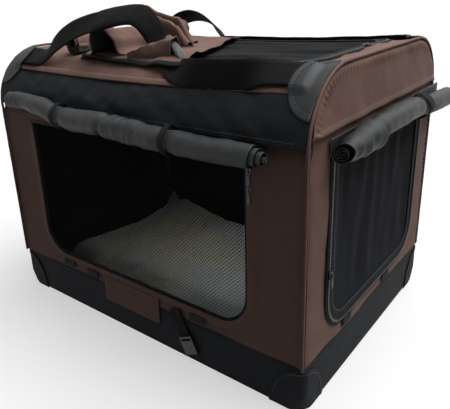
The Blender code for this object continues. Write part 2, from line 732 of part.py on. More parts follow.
# Rolled curtains over the front and end doors, each held by webbing ties
def roll(name, placing, u, v, half, ties):
    plate(f"{name}_roll", placing, [rolled_sheet(u, v)], -half, half, GREY_LINING)
    for label, place in ties:
        plate(f"{name}_tie{label}", placing, tie_loop(u, v), place - TIE_WIDTH / 2,
              place + TIE_WIDTH / 2, BLACK_CLOTH)


roll("front_curtain", RIGHT, -roll_middle(HALF_WIDTH), HEIGHT - FRONT_ROLL_DROP, FRONT_ROLL_HALF,
     (("_left", -FRONT_TIE_PLACE), ("_right", FRONT_TIE_PLACE)))
roll("right_curtain", BACK, -roll_middle(HALF_LENGTH), HEIGHT - END_ROLL_DROP, END_ROLL_HALF,
     (("", END_TIE_PLACE),))
roll("left_curtain", FRONT, -roll_middle(HALF_LENGTH), HEIGHT - END_ROLL_DROP, END_ROLL_HALF,
     (("", -END_TIE_PLACE),))

# The top's cover flap, rolled back to the left of its mesh door
roll("top_flap", plane(-Z_AXIS, X_AXIS), -(HEIGHT + GAP + ROLL_RADIUS),
     TOP_DOOR_HINGE - FLAP_ROLL_SETBACK, FLAP_ROLL_HALF, ())


def smooth(points, steps):
    """Points along a curve through the given ones."""
    line = []
    count = len(points)
    for i in range(count - 1):
        p0 = Vector(points[max(i - 1, 0)])
        p1 = Vector(points[i])
        p2 = Vector(points[i + 1])
        p3 = Vector(points[min(i + 2, count - 1)])
        for k in range(steps):
            t = k / steps
            line.append(0.5 * (2 * p1 + (p2 - p0) * t + (2 * p0 - 5 * p1 + 4 * p2 - p3) * t ** 2
                               + (3 * p1 - p0 - 3 * p2 + p3) * t ** 3))
    line.append(Vector(points[-1]))
    return line


def ribbon(line, thickness):
    """Outline of a strap of even thickness along a line."""
    upper = []
    lower = []
    for i, point in enumerate(line):
        ahead = (line[min(i + 1, len(line) - 1)] - line[max(i - 1, 0)]).normalized()
        side = Vector((-ahead.y, ahead.x)) * thickness / 2
        for edge, corner in ((upper, point + side), (lower, point - side)):
            if not edge or (corner - edge[-1]).dot(ahead) > thickness / 4:
                edge.append(corner)
    return [tuple(p) for p in upper + lower[::-1]]


# Handles: webbing along both long edges of the top, standing up in an arch where it is gripped
def handle(name, side, rise, crest, fall):
    slope = 1 / math.tan(HANDLE_ANGLE)
    half = HANDLE_WIDTH / 2 * math.sin(HANDLE_ANGLE)
    rest = SHOULDER_Z + (SHOULDER_RADIUS * math.sin(HANDLE_ANGLE)
                         + (2 * GAP + PATCH + WEBBING / 2) / math.sin(HANDLE_ANGLE))
    arch = HEIGHT + HANDLE_ARCH - WEBBING / 2
    bend = arch - HANDLE_ARCH / 8
    lift = HEIGHT + HANDLE_ARCH / 3
    lean = (crest - rise) / 3
    foot = HANDLE_LANDING / 2
    route = [(rise - 4 * foot, rest), (rise - foot, rest), (rise + lean / 2, lift),
             (crest - lean, bend), (crest, arch), ((2 * crest + fall) / 3, bend),
             (fall - foot, lift), (fall + foot, rest), (fall + 4 * foot, rest)]
    line = [(-HANDLE_END, rest), *smooth(route, 4), (HANDLE_END, rest)]
    line = [Vector((x, max(z, rest))) for x, z in line]
    low, high = sorted((-side * (HANDLE_Y - half), -side * (HANDLE_Y + half)))
    obj = as_mesh(plate(name, FRONT, [ribbon(line, WEBBING)], low, high, WEBBING_BLACK))
    lay = Matrix.Identity(4)
    lay[2][1] = -side * slope
    lay[2][3] = slope * HANDLE_Y
    obj.data.transform(lay @ obj.matrix_world)
    obj.matrix_world = Matrix.Identity(4)
    hang(pivot(f"{name}_hinge", (0, side * (HANDLE_Y + half), rest - slope * half)), obj)


handle("front_handle", -1, FRONT_ARCH_START, FRONT_ARCH_CREST, FRONT_ARCH_END)
handle("back_handle", 1, BACK_ARCH_START, BACK_ARCH_CREST, BACK_ARCH_END)


# Trim: the patch at the middle of the front, and a closing strap with its buckle
def trim():
    seat = HALF_WIDTH + GAP
    tape_foot = DOOR_LOW - TAPE_INSET - TAPE_WIDTH
    plate("front_patch", FRONT,
          [box(FRONT_PATCH_LEFT, FRONT_PATCH_RIGHT, FRONT_PATCH_LOW, tape_foot - GAP)],
          seat, seat + PATCH, BROWN_CLOTH)

    top = tape_foot - GAP - STRAP_WIDTH / 2 * math.sin(STRAP_LEAN)
    here = FRONT @ Matrix.Translation((STRAP_PLACE, top, 0)) @ Matrix.Rotation(STRAP_LEAN, 4, "Z")
    carrier = pivot("closing_strap_hinge", here @ Vector((0, 0, seat)))
    strap = plate("closing_strap", here,
                  [box(-STRAP_WIDTH / 2, STRAP_WIDTH / 2, -STRAP_LENGTH, 0)], seat, seat + PATCH,
                  WEBBING_BLACK)
    bar = -STRAP_LENGTH - GAP
    body = box(-BUCKLE_WIDTH / 2, BUCKLE_WIDTH / 2, bar - BUCKLE_LENGTH, bar)
    slot = box(-STRAP_WIDTH / 2, STRAP_WIDTH / 2, bar - 2 * BUCKLE_SLOT, bar - BUCKLE_SLOT)
    buckle = plate("buckle", here, [body, slot], seat, seat + BUCKLE_THICKNESS, PLASTIC)
    hang(carrier, strap, buckle)


trim()
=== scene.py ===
"""Soft dog crate that folds flat: cloth over two steel hoops, with zipped mesh doors in the front,
both ends and the top, their covers rolled up and tied, and a fleece cushion inside."""
import math

import bmesh
import bpy
from mathutils import Matrix, Vector, noise


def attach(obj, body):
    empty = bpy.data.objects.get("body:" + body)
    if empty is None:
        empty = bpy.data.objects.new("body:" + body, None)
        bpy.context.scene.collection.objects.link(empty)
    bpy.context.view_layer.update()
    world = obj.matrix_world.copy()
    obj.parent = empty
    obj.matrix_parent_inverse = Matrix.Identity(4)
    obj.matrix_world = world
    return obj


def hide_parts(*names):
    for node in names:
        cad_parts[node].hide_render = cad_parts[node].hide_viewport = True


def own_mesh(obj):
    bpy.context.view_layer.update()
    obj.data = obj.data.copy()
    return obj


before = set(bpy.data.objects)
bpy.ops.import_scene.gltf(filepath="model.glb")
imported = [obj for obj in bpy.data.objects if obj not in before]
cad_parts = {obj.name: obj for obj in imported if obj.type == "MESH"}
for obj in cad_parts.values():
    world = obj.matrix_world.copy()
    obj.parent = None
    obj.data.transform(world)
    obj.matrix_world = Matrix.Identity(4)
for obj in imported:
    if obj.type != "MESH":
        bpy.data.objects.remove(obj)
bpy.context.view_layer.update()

scene = bpy.context.scene

# The view and the studio. A hand-held camera looks down on the front's right corner; the floor is
# pale, a big soft lamp stands behind and to the right, and the long front is on the shaded side.
VIEW_YAW, VIEW_DOWN, VIEW_ROLL = 40.35, 19.87, -2.95
VIEW_PLACE = (0.6443, -0.8270, 0.6255)
PHOTO_WIDTH, PHOTO_HEIGHT, FOCAL_PX = 450, 409, 527.3
MIDDLE_PX = (192.9, 177.1)
SENSOR_MM = 36

camera = bpy.data.objects.new("camera", bpy.data.cameras.new("camera"))
scene.collection.objects.link(camera)
camera.matrix_world = (
    Matrix.Translation(VIEW_PLACE)
    @ Matrix.Rotation(math.radians(VIEW_YAW), 4, "Z")
    @ Matrix.Rotation(math.radians(90 - VIEW_DOWN), 4, "X")
    @ Matrix.Rotation(math.radians(VIEW_ROLL), 4, "Z")
)
camera.data.sensor_width = SENSOR_MM
camera.data.lens = FOCAL_PX / PHOTO_WIDTH * SENSOR_MM
camera.data.shift_x = (PHOTO_WIDTH / 2 - MIDDLE_PX[0]) / PHOTO_WIDTH
camera.data.shift_y = (MIDDLE_PX[1] - PHOTO_HEIGHT / 2) / PHOTO_WIDTH
scene.camera = camera
scene.view_settings.view_transform = "Standard"


def linear(code):
    """An sRGB hex colour as linear RGBA."""
    parts = [int(code[i:i + 2], 16) / 255 for i in (1, 3, 5)]
    return (*(c / 12.92 if c <= 0.04045 else ((c + 0.055) / 1.055) ** 2.4 for c in parts), 1.0)


def add(tree, kind, sockets=None, **settings):
    """A shader node with its settings; a socket takes a value or another node's output."""
    made = tree.nodes.new("ShaderNode" + kind)
    for name, value in settings.items():
        setattr(made, name, value)
    for name, value in (sockets or {}).items():
        if isinstance(value, bpy.types.NodeSocket):
            tree.links.new(value, made.inputs[name])
        else:
            made.inputs[name].default_value = value
    return made


def surface(name, **values):
    """A new material, its node tree and its shader, with the shader's plain values set."""
    material = bpy.data.materials.new(name)
    material.use_nodes = True
    tree = material.node_tree
    tree.nodes.clear()
    shader = add(tree, "BsdfPrincipled", {key.replace("_", " "): v for key, v in values.items()})
    add(tree, "OutputMaterial", {"Surface": shader.outputs["BSDF"]})
    return material, tree, shader


def looked_at(tree):
    """1 where the camera or a reflection looks at it, also through glass; 0 for light bounced on."""
    path = add(tree, "LightPath")
    seen = add(tree, "Math", {0: path.outputs["Is Camera Ray"], 1: path.outputs["Is Glossy Ray"]},
               operation="MAXIMUM")
    seen = add(tree, "Math", {0: seen.outputs[0], 1: path.outputs["Is Transmission Ray"]},
               operation="MAXIMUM")
    return seen.outputs[0]


# Studio paper: matt, very pale grey. It is white to the camera and in reflections, and gives back
# less light than it shows, so that the shaded front stays as deep as the photograph has it.
PAPER_SELF_LIT = 0.55
PAPER_REACH = 40
paper, tree, shader = surface("studio_paper", Roughness=0.9)
seen = looked_at(tree)
tone = add(tree, "MixRGB", {"Fac": seen, "Color1": linear("#3A3A3A"), "Color2": linear("#DCDCDB")})
tree.links.new(tone.outputs[0], shader.inputs["Base Color"])
glow = add(tree, "Emission", {"Color": (1, 1, 1, 1), "Strength": 1.0})
share = add(tree, "Math", {0: seen, 1: PAPER_SELF_LIT}, operation="MULTIPLY")
lit = add(tree, "MixShader", {0: share.outputs[0], 1: shader.outputs[0], 2: glow.outputs[0]})
tree.links.new(lit.outputs[0], tree.nodes["Material Output"].inputs["Surface"])
room = bmesh.new()
bmesh.ops.create_grid(room, x_segments=1, y_segments=1, size=PAPER_REACH)
floor = bpy.data.objects.new("floor", bpy.data.meshes.new("floor"))
room.to_mesh(floor.data)
room.free()
floor.data.materials.append(paper)
scene.collection.objects.link(floor)

world = bpy.data.worlds.new("studio")
world.use_nodes = True
tree = world.node_tree
tree.nodes.clear()
dim = add(tree, "Background", {"Color": (0.96, 0.98, 1, 1), "Strength": 0.08})
white = add(tree, "Background", {"Color": (1, 1, 1, 1), "Strength": 1.0})
mixed = add(tree, "MixShader", {0: looked_at(tree), 1: dim.outputs[0], 2: white.outputs[0]})
add(tree, "OutputWorld", {"Surface": mixed.outputs[0]})
scene.world = world

SUN_FROM = Vector((0.28, 0.29, 0.91))
SUN_ENERGY, SUN_SPREAD = 4.8, 55
key = bpy.data.objects.new("key", bpy.data.lights.new("key", "SUN"))
key.data.energy = SUN_ENERGY
key.data.angle = math.radians(SUN_SPREAD)
key.rotation_euler = SUN_FROM.to_track_quat("Z", "Y").to_euler()
scene.collection.objects.link(key)

# Base tub: black coated cloth, stitched at the foot of its four sides round a stiff floor, with a
# rounded patch sewn over each lower corner where the cloth would wear through first.
HALF_LENGTH, HALF_WIDTH, HEIGHT = 0.350, 0.250, 0.520
TUB_HEIGHT, TUB_CORNER, TUB_FOOT = 0.083, 0.012, 0.006
SOFT_CORNER, SOFT_HEIGHT = 0.030, 0.030
TUB_CLOTH = 0.003
WEAVE_MM = 1.6


def bands(millimetres):
    """Scale of a wave texture whose stripes are that far apart."""
    return math.pi / 10 / (millimetres / 1000)


def oxford(name, colour, rubbed, roughness=0.72, weave=WEAVE_MM, depth=0.35, gloss=0.2):
    """Coated 600 denier polyester: a plain weave of thick dull yarn, paler where it is creased and
    rubbed. The real yarns are 0.5 mm apart; they are drawn coarser so that they show."""
    material, tree, shader = surface(name, Specular_IOR_Level=gloss)
    uv = add(tree, "UVMap", uv_map="cloth")
    warp, weft = (add(tree, "TexWave", {"Vector": uv.outputs[0], "Scale": bands(weave),
                                        "Distortion": 0.6, "Detail": 1.0, "Detail Scale": 2.0},
                      bands_direction=way) for way in "XY")
    yarn = add(tree, "Math", {0: warp.outputs["Fac"], 1: weft.outputs["Fac"]}, operation="MULTIPLY")
    place = add(tree, "TexCoord")
    mottle = add(tree, "TexNoise", {"Vector": place.outputs["Object"], "Scale": 14.0,
                                    "Detail": 5.0, "Roughness": 0.6})
    spread = add(tree, "MapRange", {"Value": mottle.outputs["Fac"], "From Min": 0.35,
                                    "From Max": 0.75})
    ground = add(tree, "MixRGB", {"Fac": spread.outputs[0], "Color1": linear(colour),
                                  "Color2": linear(rubbed)})
    # Painted shade in the grooves between the yarns, and a little painted light on their crowns
    painted_weave_shading = add(tree, "MapRange", {"Value": yarn.outputs[0], "To Min": 0.72, "To Max": 1.08})
    dye_and_painted_shading = add(tree, "MixRGB", {"Fac": 1.0, "Color1": ground.outputs[0],
                                "Color2": painted_weave_shading.outputs[0]}, blend_type="MULTIPLY")
    tree.links.new(dye_and_painted_shading.outputs[0], shader.inputs["Base Color"])
    dull = add(tree, "MapRange", {"Value": mottle.outputs["Fac"], "To Min": roughness - 0.10,
                                  "To Max": roughness + 0.12})
    tree.links.new(dull.outputs[0], shader.inputs["Roughness"])
    crease = add(tree, "TexNoise", {"Vector": place.outputs["Object"], "Scale": 38.0,
                                    "Detail": 3.0, "Distortion": 0.8})
    height = add(tree, "Math", {0: crease.outputs["Fac"], 1: 2.2}, operation="MULTIPLY")
    height = add(tree, "Math", {0: height.outputs[0], 1: yarn.outputs[0]}, operation="ADD")
    bump = add(tree, "Bump", {"Height": height.outputs[0], "Strength": depth, "Distance": 0.0012})
    tree.links.new(bump.outputs[0], shader.inputs["Normal"])
    return material


black_cloth = oxford("black_oxford_cloth", "#15171A", "#212327", gloss=0.12)
brown_cloth = oxford("brown_oxford_cloth", "#6C524A", "#7E6359")
lining = oxford("black_pvc_backing", "#232427", "#2D2E31", roughness=0.6, depth=0.2)


def piece(name, work, materials, nodes=(), body="root", thick=0.0, soft=0, folds=True):
    """Turn a bmesh into a finished piece that rides on a body."""
    mesh = bpy.data.meshes.new(name)
    work.to_mesh(mesh)
    work.free()
    mesh.shade_smooth()
    for material in materials:
        mesh.materials.append(material)
    obj = bpy.data.objects.new(name, mesh)
    scene.collection.objects.link(obj)
    if thick:
        cloth = obj.modifiers.new("cloth", "SOLIDIFY")
        cloth.thickness = thick
        cloth.offset = -1
        cloth.material_offset = len(materials) - 1
    if soft:
        smooth = obj.modifiers.new("soft", "SUBSURF")
        smooth.levels = smooth.render_levels = soft
    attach(obj, body)
    if nodes:
        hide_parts(*nodes)
    if folds:
        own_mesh(obj)
    return obj


def measure_cloth(work, flat=lambda spot: spot.xy, faces=None):
    """Write each corner's place in the flat cloth, in metres, to the map that the weave follows."""
    layer = work.loops.layers.uv.get("cloth") or work.loops.layers.uv.new("cloth")
    for face in faces or work.faces:
        for loop in face.loops:
            loop[layer].uv = flat(loop.vert.co)


def grid(columns, rows):
    """A flat sheet that reaches from -1 to 1 both ways."""
    work = bmesh.new()
    bmesh.ops.create_grid(work, x_segments=columns, y_segments=rows, size=1)
    return work


def panel(columns, rows, half, middle):
    """A flat rectangle of cloth, half its width and height given, with its weave laid on."""
    work = grid(columns, rows)
    bmesh.ops.scale(work, vec=(*half, 1), verts=work.verts)
    bmesh.ops.translate(work, vec=(*middle, 0), verts=work.verts)
    measure_cloth(work)
    return work


def ripple(place, size, seed=0.0):
    """Smooth unevenness of cloth, from about -1 to 1, with features of that size in metres."""
    return noise.noise(Vector(place) / size + Vector((seed, seed * 1.7, seed * 0.6)))


tub = bmesh.new()
bmesh.ops.create_cube(tub, size=1)
bmesh.ops.scale(tub, vec=(2 * HALF_LENGTH, 2 * HALF_WIDTH, TUB_HEIGHT), verts=tub.verts)
bmesh.ops.translate(tub, vec=(0, 0, TUB_HEIGHT / 2), verts=tub.verts)
bmesh.ops.delete(tub, geom=[f for f in tub.faces if f.normal.z > 0.5], context="FACES_ONLY")
upright = [e for e in tub.edges if abs(e.verts[0].co.z - e.verts[1].co.z) > TUB_HEIGHT / 2]
bmesh.ops.bevel(tub, geom=upright, offset=TUB_CORNER, segments=5, profile=0.5, affect="EDGES",
                material=-1)
foot = [e for e in tub.edges if max(v.co.z for v in e.verts) < 0.001]
bmesh.ops.bevel(tub, geom=foot, offset=TUB_FOOT, segments=4, profile=0.5, affect="EDGES",
                material=-1)
# Cut into a grid of about 10 mm, so that the round corners and the swells have points to move
for axis in (0, 1):
    for step in range(-34, 35):
        normal = [0, 0, 0]
        normal[axis] = 1
        at = [0, 0, 0]
        at[axis] = step * 0.01
        bmesh.ops.bisect_plane(tub, geom=tub.verts[:] + tub.edges[:] + tub.faces[:],
                               plane_co=at, plane_no=normal)
for step in range(1, 8):
    bmesh.ops.bisect_plane(tub, geom=tub.verts[:] + tub.edges[:] + tub.faces[:],
                           plane_co=(0, 0, step * 0.0105), plane_no=(0, 0, 1))
layer = tub.loops.layers.uv.new("cloth")
for face in tub.faces:
    upright_face = abs(face.normal.z) < 0.5
    for loop in face.loops:
        x, y, z = loop.vert.co
        loop[layer].uv = (x + y, z) if upright_face else (x, y)


def softened(spot):
    """The tub's corners are rounder at the foot, where the floor's stiffener pushes them out."""
    low = max(0.0, 1 - spot.z / SOFT_HEIGHT)
    corner = TUB_CORNER + (SOFT_CORNER - TUB_CORNER) * low
    middle = Vector((HALF_LENGTH - corner, HALF_WIDTH - corner))
    off = Vector((abs(spot.x), abs(spot.y))) - middle
    if min(off) <= 0 or off.length <= corner:
        return spot
    over_by = off.length - corner
    off = middle + off.normalized() * corner
    return Vector((math.copysign(off.x, spot.x), math.copysign(off.y, spot.y),
                   spot.z + 0.3 * over_by * low))


for vert in tub.verts:
    vert.co = softened(vert.co)
    rise = vert.co.z / TUB_HEIGHT
    if vert.co.z > TUB_FOOT:
        swell = 0.0022 * math.sin(math.pi * min(rise, 1)) * ripple(vert.co, 0.10, 3.1)
        swell += 0.0010 * ripple(vert.co, 0.022, 7.7) * (1 - rise)
        out = Vector((vert.co.x / HALF_LENGTH, vert.co.y / HALF_WIDTH, 0))
        if abs(out.x) > abs(out.y):
            vert.co.x -= abs(swell) * math.copysign(1, out.x)
        else:
            vert.co.y -= abs(swell) * math.copysign(1, out.y)
tub_cloth = piece("base_tub_cloth", tub, [black_cloth], ["base_tub"],
                  thick=TUB_CLOTH, folds=False)

# Steel frame: round tube bent cold, powder coated in satin black, with zinc-plated rivets. It is
# hidden by the cloth when the crate stands, so the solids themselves are kept and only painted.


def grained(name, scale, strength, depth, detail=2.0, roughness=None, **values):
    """A plain material with a fine even grain, which roughens it between two values if given."""
    material, tree, shader = surface(name, **values)
    place = add(tree, "TexCoord")
    grain = add(tree, "TexNoise", {"Vector": place.outputs["Object"], "Scale": scale,
                                   "Detail": detail})
    if roughness:
        spread = add(tree, "MapRange", {"Value": grain.outputs["Fac"], "To Min": roughness[0],
                                        "To Max": roughness[1]})
        tree.links.new(spread.outputs[0], shader.inputs["Roughness"])
    bump = add(tree, "Bump", {"Height": grain.outputs["Fac"], "Strength": strength,
                              "Distance": depth})
    tree.links.new(bump.outputs[0], shader.inputs["Normal"])
    return material


# Satin black powder coat with the slight orange peel of its baking, and dull bright zinc
enamel = grained("powder_coated_steel", 900.0, 0.15, 0.0002, roughness=(0.35, 0.50),
                 Base_Color=linear("#26282B"), Metallic=0.0, Coat_Weight=0.2)
zinc = grained("bright_zinc_plate", 260.0, 0.2, 0.0001, detail=4.0, roughness=(0.34, 0.58),
               Base_Color=linear("#74767A"), Metallic=1.0)
for name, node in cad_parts.items():
    if "rivet" in name:
        node.material_slots[0].material = zinc
    elif any(part in name for part in ("hoop", "base_tube", "sleeve", "bracket")):
        node.material_slots[0].material = enamel

# Front and back walls: brown cloth with a black backing. The front one is cut out for its door, and
# its edge is doubled into a fly that hides the zip. Nothing stiff stands between the ends, so both
# walls hollow in a little. The seams are sewn with thread of the cloth's colour, 3.5 mm a stitch.
FRONT_DOOR = (0.250, 0.116, 0.390)
DOOR_CORNER = 0.055
WALL_CLOTH = 0.0016
SHOULDER, SHOULDER_Y, SHOULDER_Z = 0.105, 0.145, 0.415
HOOP_AT = 0.335
HOLLOW, TOP_SAG = 0.006, 0.010
FLY_GAP, FLY_LIFT, FLY_WIDTH = 0.0015, 0.0046, 0.017


def ease(value):
    value = min(max(value, 0.0), 1.0)
    return value * value * (3 - 2 * value)


def settle(point):
    """Where the cloth comes to rest: between the hoops, the top sags and the long walls hollow."""
    span = max(0.0, 1 - (point.x / HOOP_AT) ** 2)
    rise = min(max((point.z - TUB_HEIGHT) / (SHOULDER_Z - TUB_HEIGHT), 0.0), 1.0)
    hollow = HOLLOW * span * math.sin(math.pi * rise * 0.8)
    sag = TOP_SAG * span * ease((point.z - SHOULDER_Z) / (HEIGHT - SHOULDER_Z))
    side = min(max(point.y / HALF_WIDTH, -1.0), 1.0)
    return Vector((point.x, point.y - hollow * side, point.z - sag))


def front(u, v, out=0.0):
    return Vector((u, -HALF_WIDTH - out, v))


def back(u, v, out=0.0):
    return Vector((-u, HALF_WIDTH + out, v))


def right(u, v, out=0.0):
    return Vector((HALF_LENGTH + out, u, v))


def left(u, v, out=0.0):
    return Vector((-HALF_LENGTH - out, -u, v))


def over(u, v, out=0.0):
    """A place on the round shoulders and the flat top; v runs from the front's foot to the back's."""
    bend = SHOULDER * math.pi / 2
    wall = SHOULDER_Z - TUB_HEIGHT
    flat = 2 * SHOULDER_Y
    side = -1
    if v > wall + bend + flat / 2:
        v = 2 * wall + 2 * bend + flat - v
        side = 1
    if v < wall:
        return Vector((u, side * (HALF_WIDTH + out), TUB_HEIGHT + v))
    if v < wall + bend:
        turn = (v - wall) / SHOULDER
        reach = SHOULDER + out
        return Vector((u, side * (SHOULDER_Y + reach * math.cos(turn)),
                       SHOULDER_Z + reach * math.sin(turn)))
    return Vector((u, side * (SHOULDER_Y - (v - wall - bend)), HEIGHT + out))


def on_top(u, v, out=0.0):
    """The place on the shell straight above (u, v) in plan."""
    turned = max(abs(v) - SHOULDER_Y, 0.0)
    if turned == 0.0:
        return Vector((u, v, HEIGHT + out))
    turn = math.acos(min(turned / SHOULDER, 1.0))
    reach = SHOULDER + out
    return Vector((u, math.copysign(SHOULDER_Y + reach * math.cos(turn), v),
                   SHOULDER_Z + reach * math.sin(turn)))


def arc(middle, radius, start, stop, steps):
    """Points of a circular arc, angles in degrees."""
    turns = [math.radians(start + (stop - start) * i / steps) for i in range(steps + 1)]
    return [(middle[0] + radius * math.cos(a), middle[1] + radius * math.sin(a)) for a in turns]


def resample(line, count):
    """Even points along a line, its last one left out."""
    lengths = [0.0]
    for a, b in zip(line, line[1:]):
        lengths.append(lengths[-1] + math.dist(a, b))
    made = []
    k = 0
    for i in range(count):
        want = lengths[-1] * i / count
        while lengths[k + 1] < want:
            k += 1
        share = (want - lengths[k]) / (lengths[k + 1] - lengths[k])
        made.append(tuple(p + (q - p) * share for p, q in zip(line[k], line[k + 1])))
    return made


def door_sides(door, out=0.0):
    """A door's outline as four sides that meet in the middle of its round corners."""
    half, low, high = door
    corner = DOOR_CORNER + out
    near = (-half + DOOR_CORNER, low + DOOR_CORNER)
    far = (half - DOOR_CORNER, low + DOOR_CORNER)
    return [
        [(-half - out, high)] + arc(near, corner, 180, 225, 5),
        arc(near, corner, 225, 270, 5) + arc(far, corner, 270, 315, 5),
        arc(far, corner, 315, 360, 5) + [(half + out, high)],
        [(half + out, high), (-half - out, high)],
    ]


def beyond_door(door, u, v):
    """How far a place lies outside a door's outline; below zero inside it."""
    half, low, high = door
    across = abs(u) - (half - DOOR_CORNER)
    down = low + DOOR_CORNER - v
    if across > 0 and down > 0:
        return math.hypot(across, down) - DOOR_CORNER
    return max(abs(u) - half, low - v, v - high)


def framed(outer, inner, counts, rings):
    """Flat panel between its outline and its opening, each given as four sides."""
    work = bmesh.new()
    edges = []
    for sides in (outer, inner):
        points = [p for side, count in zip(sides, counts) for p in resample(side, count)]
        verts = [work.verts.new((*p, 0)) for p in points]
        edges += [work.edges.new(pair) for pair in zip(verts, verts[1:] + verts[:1])]
    made = bmesh.ops.bridge_loops(work, edges=edges)
    bmesh.ops.subdivide_edges(work, edges=made["edges"], cuts=rings, use_grid_fill=True)
    measure_cloth(work)
    return work


def outwards(work, middle=(0, 0, 0.25)):
    """Turn the faces of an open sheet away from the middle of the crate."""
    bmesh.ops.recalc_face_normals(work, faces=work.faces)
    if sum((f.calc_center_median() - Vector(middle)).dot(f.normal) for f in work.faces) < 0:
        bmesh.ops.reverse_faces(work, faces=work.faces)


def shaped(work, place):
    """Move flat cloth to its place on the crate, and turn its faces outwards."""
    for vert in work.verts:
        vert.co = settle(place(vert.co.x, vert.co.y))
    outwards(work)
    return work


def wall_folds(u, v, seed):
    """Loose cloth: broad swells and a few finer slanted creases."""
    slant = (u + 0.5 * v, v - 0.3 * u, 0)
    return 0.0020 * ripple((u, v, 0), 0.11, seed) + 0.0009 * ripple(slant, 0.035, seed + 5)


# Three-ply spun thread: a shade paler than the cloth it sews, and a little rough
thread_brown = grained("brown_polyester_thread", 900.0, 0.4, 0.0003, Base_Color=linear("#7E655B"),
                       Roughness=0.6, Specular_IOR_Level=0.3)
thread_black = grained("black_polyester_thread", 900.0, 0.4, 0.0003, Base_Color=linear("#3A3D40"),
                       Roughness=0.5, Specular_IOR_Level=0.4)
STITCH, STITCH_STEP, THREAD = 0.0034, 0.0052, 0.0009


def sewn(name, line, place, thread, body="root", folds=True, lift=0.0003):
    """Lock stitches along a line, lift metres over the cloth that place puts on the crate."""
    length = sum(math.dist(a, b) for a, b in zip(line, line[1:]))
    points = resample(line, max(int(length / STITCH_STEP), 2))
    work = bmesh.new()
    for a, b in zip(points, points[1:]):
        along = Vector((b[0] - a[0], b[1] - a[1])).normalized()
        for vert in bmesh.ops.create_cube(work, size=1)["verts"]:
            slim = 0.6 if vert.co.z > 0 else 1.0
            flat = (Vector(a) + along * vert.co.x * STITCH * slim
                    + Vector((-along.y, along.x)) * vert.co.y * THREAD)
            vert.co = settle(place(flat.x, flat.y, lift + THREAD * 0.6 * vert.co.z))
    bmesh.ops.recalc_face_normals(work, faces=work.faces)
    return piece(name, work, [thread], body=body, folds=folds)


WALL_TOP, TUCK_FROM, TUCK_RUN = 0.440, 0.402, 0.018
FOOT_SEAM = TUB_HEIGHT + 0.006
long_wall = [[(-HALF_LENGTH, WALL_TOP), (-HALF_LENGTH, TUB_HEIGHT)],
             [(-HALF_LENGTH, TUB_HEIGHT), (HALF_LENGTH, TUB_HEIGHT)],
             [(HALF_LENGTH, TUB_HEIGHT), (HALF_LENGTH, WALL_TOP)],
             [(HALF_LENGTH, WALL_TOP), (-HALF_LENGTH, WALL_TOP)]]


def front_wall(u, v, out=0.0):
    """The front wall's outer face, raised into the fly beside the zip."""
    apart = beyond_door(FRONT_DOOR, u, v)
    fly = FLY_LIFT * ease((FLY_WIDTH - apart) / 0.006) if v < FRONT_DOOR[2] else 0.0
    calm = 0.2 + 0.8 * ease((apart - 0.012) / 0.05)
    tucked = 0.0070 * ease((v - TUCK_FROM) / TUCK_RUN)
    return front(u, v, calm * wall_folds(u, v, 1.3) - 0.0006 - tucked + fly + out)


work = framed(long_wall, door_sides(FRONT_DOOR, FLY_GAP), (50, 100, 50, 100), 17)
shaped(work, front_wall)
wall = piece("front_wall_cloth", work, [brown_cloth, lining], ["front_wall"],
             thick=WALL_CLOTH)
fly_seam = [p for side in door_sides(FRONT_DOOR, FLY_WIDTH - 0.002)[:3] for p in side]
sewn("front_fly_stitches", fly_seam, front_wall, thread_brown)


def back_wall(u, v, out=0.0):
    """The back wall's outer face, looser than the front's, because no zip holds it."""
    tucked = 0.0080 * ease((v - TUCK_FROM) / TUCK_RUN)
    return back(u, v, 2.2 * wall_folds(u, v, 9.1) - 0.001 - tucked + out)


work = panel(70, 36, (HALF_LENGTH, (WALL_TOP - TUB_HEIGHT) / 2), (0, (WALL_TOP + TUB_HEIGHT) / 2))
shaped(work, back_wall)
wall = piece("back_wall_cloth", work, [brown_cloth, lining], ["back_wall"],
             thick=WALL_CLOTH)
hem_line = [(-HALF_LENGTH + 0.008, FOOT_SEAM), (HALF_LENGTH - 0.008, FOOT_SEAM)]
sewn("front_foot_stitches", hem_line, front_wall, thread_brown)
sewn("back_foot_stitches", hem_line, back_wall, thread_brown)

# End walls: brown cloth cut to the hoops' round shape and cut out for a door. Above it a second
# layer, a valance with a turned hem, covers the seam of the rolled-up cover. The seam round the
# hoop draws the cloth into puckers about 10 mm apart.
END_DOOR = (0.176, 0.116, 0.398)
END_HEM = 0.436
PUCKER, PUCKER_STEP = 0.0027, 0.0098
half_turn = arc((-SHOULDER_Y, SHOULDER_Z), SHOULDER, 180, 90, 16)
other_turn = arc((SHOULDER_Y, SHOULDER_Z), SHOULDER, 90, 0, 16)
end_outline = [half_turn[8::-1] + [(-HALF_WIDTH, TUB_HEIGHT)],
               [(-HALF_WIDTH, TUB_HEIGHT), (HALF_WIDTH, TUB_HEIGHT)],
               [(HALF_WIDTH, TUB_HEIGHT)] + other_turn[:7:-1],
               other_turn[8::-1] + half_turn[:7:-1]]


def end_seam(u, v):
    """On an end wall: the distance to the seam round the hoop, and how far along it that is."""
    if v > SHOULDER_Z and abs(u) > SHOULDER_Y:
        turn = math.atan2(v - SHOULDER_Z, abs(u) - SHOULDER_Y)
        apart = SHOULDER - math.hypot(abs(u) - SHOULDER_Y, v - SHOULDER_Z)
        return apart, math.copysign(SHOULDER_Y + SHOULDER * (math.pi / 2 - turn), u)
    if HALF_WIDTH - abs(u) < HEIGHT - v:
        run = SHOULDER_Y + SHOULDER * math.pi / 2 + SHOULDER_Z - v
        return HALF_WIDTH - abs(u), math.copysign(run, u)
    return HEIGHT - v, u


